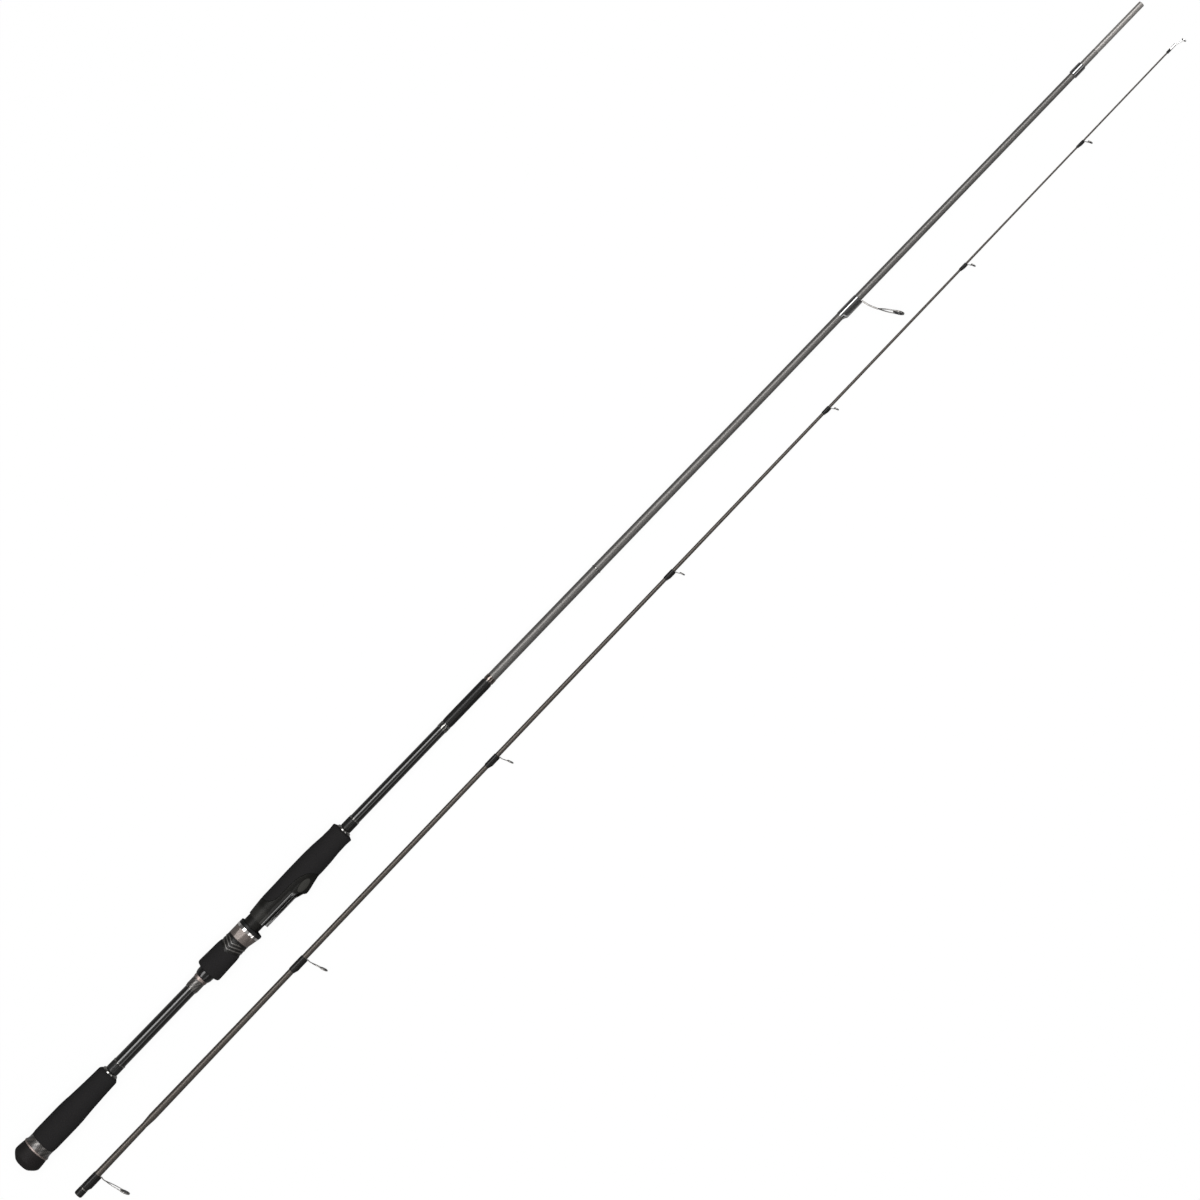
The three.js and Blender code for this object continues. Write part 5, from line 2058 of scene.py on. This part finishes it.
@dataclass
class Guide(Ringed):
    """One line guide: its wire frame, its ceramic ring and the whipping over its foot."""

    number: int = field(kw_only=True)
    sizes: GuideSizes = field(kw_only=True)
    foot_inset: float = 1.0
    foot_lip: float = 0.8
    foot_width: float = 1.2
    foot_ramp: float = 3.2
    thickness: tuple[Station, ...] = (
        (0, 0.03), (0.02, 0.28), (0.07, 0.4), (0.5, 0.42), (0.93, 0.4), (0.985, 0.28), (1, 0.03),
    )
    sweep: float = 0.19

    @property
    def carrier(self) -> Body:
        """The body it rides on."""
        return Body.TIP if self.number else Body.BUTT

    def build(self) -> None:
        """Makes the frame, the ring and the whipping."""
        name, sizes = f"guide_{self.number}", self.sizes
        wrap = self.section.span(f"{name}_wrap")
        blank = self.section.outline("tip_blank" if self.number else "butt_blank")
        low = radius_on(blank, wrap.start) + GLUE_LINE
        centre = Vector((wrap.end + sizes.ahead, 0.0, sizes.out))
        insert, holder = self.ring(centre, sizes.radius, sizes.lean, softness=(0.45, 0.25), sides=40)
        wire = Form.joined([holder, *self.wires(wrap, low, centre)])
        thread = WHIPPING if self.number else GLOSS_WHIPPING
        self.place(f"{name}_wire", wire, FRAME_METAL, [f"{name}_frame"])
        self.place(f"{name}_insert", insert, CERAMIC, [f"{name}_ring"])
        self.place(f"{name}_whipping", self.bound(wrap, blank, low), thread, [f"{name}_wrap"], WOUND_CREASE)

    def wires(self, wrap: Span, low: float, centre: Vector) -> list[Form]:
        """Bends the foot, the stem and the two arms.

        Args:
            wrap: where the whipping is.
            low: the foot's underside.
            centre: the ring's centre.

        Returns:
            The wires' forms.
        """
        sizes, gauge = self.sizes, self.sizes.gauge
        heel = Vector((wrap.end + self.foot_lip - gauge / 2, 0.0, low + gauge / 2))
        back = Vector((-sizes.ahead * self.sweep, 0.0, 0.0))
        fork = heel.lerp(centre, sizes.parting) + back
        toe = wrap.start + self.foot_inset
        foot = Form.prism([
            (toe, low), (toe + self.foot_ramp, low), (heel.x, low),
            (heel.x + gauge * 0.4, low + gauge * 0.5), (heel.x, low + gauge),
            (toe + self.foot_ramp, low + gauge), (toe, low + 0.12),
        ], gauge * self.foot_width)
        bow = heel.lerp(fork, 0.5) + back / 4
        root = heel - Vector((gauge, 0.0, 0.0))
        knots = [root, heel + Vector((0.1, 0, gauge * 0.4)), bow, fork]
        forms = [foot, self.bent_wire(knots, gauge * 0.55)]
        for hand in HANDS:
            end = Vector((centre.x, hand * (sizes.radius - 0.1), sizes.out))
            knots = [fork - Vector((0, 0, gauge * 0.3)), self.elbow(fork, end, hand, sizes.radius), end]
            forms.append(self.bent_wire(knots, gauge * 0.4))
        return forms

    def bound(self, wrap: Span, blank: Sequence[Station], low: float) -> Form:
        """Winds the whipping over the blank and the foot.

        Args:
            wrap: where it is.
            blank: the blank's outline.
            low: the foot's underside.

        Returns:
            The form.
        """
        gauge, width = self.sizes.gauge, self.sizes.gauge * self.foot_width
        angles = np.linspace(0, TURN, 64, endpoint=False)
        rings = []
        for share, thick in eased(self.thickness, count=40):
            along = wrap.at(share)
            ramp = min(1.0, max(0.0, (along - wrap.start - self.foot_inset) / self.foot_ramp))
            ramp = ramp * ramp * (3 - 2 * ramp)
            top = low + gauge * ramp if ramp > 0 else 0.0
            reach = self.hull(radius_on(blank, along), width * min(1.0, 0.35 + ramp), top, angles)
            rings.append((along, reach + thick * (1 if share not in (0, 1) else 0.1)))
        for share in (0.98, 0.5, 0.02):
            along = wrap.at(share)
            rings.append((along, np.full(len(angles), radius_on(blank, along) - 0.05)))
        return Form.grid(np.array([
            [(along, r * math.sin(a), r * math.cos(a)) for a, r in zip(angles, reach)]
            for along, reach in rings
        ]))

    @staticmethod
    def hull(radius: float, half_width: float, top: float, angles: np.ndarray) -> np.ndarray:
        """How far thread reaches that is drawn tight over the blank and the foot.

        Args:
            radius: the blank's radius.
            half_width: half the foot's width.
            top: how far out the foot's top is, or 0 for no foot.
            angles: the directions, from out towards side.

        Returns:
            The distance in each direction.
        """
        corner, tilt = math.hypot(half_width, top), math.atan2(half_width, top)
        if top <= 0 or corner <= radius:
            return np.full(len(angles), radius)
        tangent = tilt + math.acos(radius / corner)
        turn = np.abs((angles + math.pi) % TURN - math.pi)
        over = np.maximum(radius, top / np.cos(np.minimum(turn, tilt)))
        beside = radius / np.cos(np.clip(tangent - turn, 0, tangent))
        return np.select([turn < tilt, turn < tangent], [over, beside], radius)


@dataclass
class TipTop(Ringed):
    """The tip-top: a tube over the blank's end with two arms to its ring, and a whipping behind it."""

    carrier = Body.TIP
    ring_ahead: float = 7.2
    ring_out: float = 2.75
    ring_radius: float = 2.1
    lean: float = 8.0
    wire_radius: float = 0.3
    tube_length: float = 8.3
    tube_wall: float = 0.4
    whip_shift: float = 2.2
    whip_overlap: float = 0.4

    def build(self) -> None:
        """Makes the tube with its arms, the ring and the whipping."""
        section = self.section
        end = section.span("tip_top_frame").start + self.tube_length
        start = end - self.tube_length + self.whip_shift - self.whip_overlap
        bore = radius_on(section.outline("tip_blank"), start) + GLUE_LINE
        radius = bore + self.tube_wall
        centre = Vector((end + self.ring_ahead, 0.0, self.ring_out))
        insert, holder = self.ring(centre, self.ring_radius, self.lean, softness=(0.4, 0.2), sides=32)
        tube = Form.turned([
            (end - 2.7, 0.0), (end - 2.7, bore), (start, bore), (start, radius - 0.12),
            (start + 0.12, radius), (end - 0.5, radius * 0.9), (end - 0.1, radius * 0.7),
            (end, radius * 0.4), (end, 0.0),
        ], 32)
        arms = []
        for hand in HANDS:
            root = Vector((end - 1.5, hand * radius / 2, 0.0))
            tip = Vector((centre.x, hand * (self.ring_radius - 0.08), self.ring_out))
            knots = [root, self.elbow(root, tip, hand, self.ring_radius), tip]
            arms.append(self.bent_wire(knots, self.wire_radius, 0.25))
        self.place("tip_top_tube", Form.joined([tube, holder, *arms]), TIP_METAL, ["tip_top_frame"])
        self.place("tip_top_insert", insert, CERAMIC, ["tip_top_ring"])
        whip = section.span("tip_top_whip")
        whip = whip.between(whip.start + self.whip_shift, whip.end + self.whip_shift)
        outline = shaped(whip, [(0, 0.68), (0.05, 0.9), (0.2, 1), (0.8, 1), (0.95, 0.9), (1, 0.68)])
        form = sleeve(outline, (whip.inner, whip.inner), softness=0.05, sides=48)
        self.place("tip_top_whipping", form, WHIPPING, ["tip_top_whip"], WOUND_CREASE)


@dataclass
class Socket(Assembly):
    """The whipping and the trim round the tip section's socket."""

    carrier = Body.TIP
    thread: float = 0.25

    def build(self) -> None:
        """Makes the whipping and its trim."""
        whip = self.section.span("socket_whip")
        low = whip.inner / whip.outer + 0.02
        outline = shaped(whip, [(0, low), (0.05, 0.98), (0.15, 1), (0.85, 1), (0.95, 0.985), (1, low)])
        form = sleeve(outline, (whip.inner, whip.inner), softness=0.08, sides=64)
        self.place("socket_whipping", form, WHIPPING, ["socket_whip"], WOUND_CREASE)
        top = self.section.span("socket_trim_ring").outer
        self.trim("socket_trim_thread", "socket_trim_ring", SILVER_THREAD, self.thread, (top, top))


# --- Studio ---


class Lit(Enum):
    """What a lamp adds to the picture."""

    SHADE = "diffuse light alone"
    GLOSS = "reflections alone"


@dataclass(frozen=True)
class Lamp:
    """A flat lamp: its size in metres, its distance, its lean from overhead and how bright it looks."""

    name: str
    size: tuple[float, float]
    distance: float
    lean: float
    radiance: float
    lit: Lit


@dataclass
class Studio:
    """The pale floor, the lamps and the camera."""

    distance: float = 2.65
    aim: tuple[float, float] = (-0.00204, 0.0142)
    turn: float = -46.03
    lens: float = 95.7
    lamps_used: tuple[Lamp, ...] = (
        Lamp("overhead", (2.6, 2.6), 3.0, 0.0, 4.0, Lit.SHADE),
        Lamp("canopy", (9.0, 4.0), 3.0, 10.0, 0.3, Lit.GLOSS),
        Lamp("strip", (9.0, 1.5), 3.4, 26.0, 10.0, Lit.GLOSS),
        Lamp("kicker", (9.0, 0.9), 3.0, -38.0, 2.4, Lit.GLOSS),
    )
    floor_size: float = 16.0
    world_strength: float = 0.28
    floor_seen: float = 0.93
    world_mirrored: float = 0.16
    floor_mirrored: float = 0.22
    floor_bounce: float = 0.3

    def build(self) -> None:
        """Sets up the floor, the lamps, the world and the camera."""
        self.floor()
        self.lamps()
        self.world()
        self.camera()

    def floor(self) -> None:
        """Lays a plain white floor that keeps a faint shadow."""
        half = self.floor_size / 2
        corners = [(-half, -half, 0.0), (half, -half, 0.0), (half, half, 0.0), (-half, half, 0.0)]
        mesh = bpy.data.meshes.new("floor")
        mesh.from_pydata(corners, [], [(0, 1, 2, 3)])
        material = bpy.data.materials.new("floor_paper")
        graph = Graph(cleared(material))
        seen, mirrored = self.rays(graph)
        dull = (self.floor_bounce,) * 3 + (1.0,)
        tint = graph.node("ShaderNodeMix", {"data_type": "RGBA"}, {0: seen, 6: dull, 7: WHITE})
        white = graph.node("ShaderNodeBsdfDiffuse", inputs={"Color": tint.outputs[2]})
        glow = graph.node("ShaderNodeEmission", inputs={"Color": WHITE, "Strength": 1.0})
        share = seen * self.floor_seen + mirrored * self.floor_mirrored
        mixed = graph.node("ShaderNodeMixShader", inputs={0: share, 1: white.outputs[0], 2: glow.outputs[0]})
        graph.node("ShaderNodeOutputMaterial", inputs={"Surface": mixed.outputs[0]})
        mesh.materials.append(material)
        stood("floor", mesh)

    def rays(self, graph: Graph) -> tuple[Value, Value]:
        """Whether a ray comes from the camera, and whether it comes from a glossy surface."""
        path = graph.node("ShaderNodeLightPath").outputs
        return Value(graph, path["Is Camera Ray"]), Value(graph, path["Is Glossy Ray"])

    def lamps(self) -> None:
        """Hangs a soft box for the shading and strips for the highlights."""
        for lamp in self.lamps_used:
            data = bpy.data.lights.new(lamp.name, "AREA")
            data.shape = "RECTANGLE"
            data.size, data.size_y = lamp.size
            data.energy = lamp.radiance * math.pi * lamp.size[0] * lamp.size[1]
            obj = stood(lamp.name, data)
            lean = math.radians(lamp.lean)
            obj.location = (0.0, lamp.distance * math.sin(lean), lamp.distance * math.cos(lean))
            obj.rotation_euler = (-lean, 0.0, 0.0)
            obj.visible_diffuse = lamp.lit is not Lit.GLOSS
            obj.visible_glossy = lamp.lit is not Lit.SHADE

    def world(self) -> None:
        """Fills the room with plain soft light."""
        world = bpy.data.worlds.new("room")
        bpy.context.scene.world = world
        graph = Graph(cleared(world))
        seen, mirrored = self.rays(graph)
        base = self.world_strength
        strength = seen * (1 - base) + mirrored * (self.world_mirrored - base) + base
        light = graph.node("ShaderNodeBackground", inputs={"Color": WHITE, "Strength": strength})
        graph.node("ShaderNodeOutputWorld", inputs={"Surface": light.outputs[0]})

    def camera(self) -> None:
        """Looks straight down on the rod, turned so that it lies across the picture."""
        data = bpy.data.cameras.new("camera")
        data.lens = self.lens
        data.sensor_width = 36.0
        data.clip_end = 50.0
        camera = stood("camera", data)
        camera.location = (*self.aim, self.distance)
        camera.rotation_euler = (0.0, 0.0, math.radians(self.turn))
        bpy.context.scene.camera = camera
        bpy.context.scene.view_settings.view_transform = "Standard"


def main() -> None:
    """Builds the studio and the rod, one assembly after another."""
    logging.basicConfig(level=logging.INFO, format="%(name)s: %(message)s")
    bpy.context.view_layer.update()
    Studio().build()
    maker = Maker(
        Workshop(),
        Section.measured("butt_blank", "butt_cap", "guide_0_ring"),
        Section.measured("tip_blank", "tip_blank", "guide_1_ring"),
        wire_recipe(),
        winding_recipe(),
    )
    assemblies = [
        ButtBlank(maker), TipBlank(maker), Handle(maker), Bands(maker), ReelSeat(maker), LockNut(maker),
        MovingHood(maker), Socket(maker), TipTop(maker),
        *(Guide(maker, number=number, sizes=sizes) for number, sizes in enumerate(GUIDES)),
    ]
    for assembly in assemblies:
        assembly.build()
    bpy.context.view_layer.update()


if __name__ == "__main__":
    main()
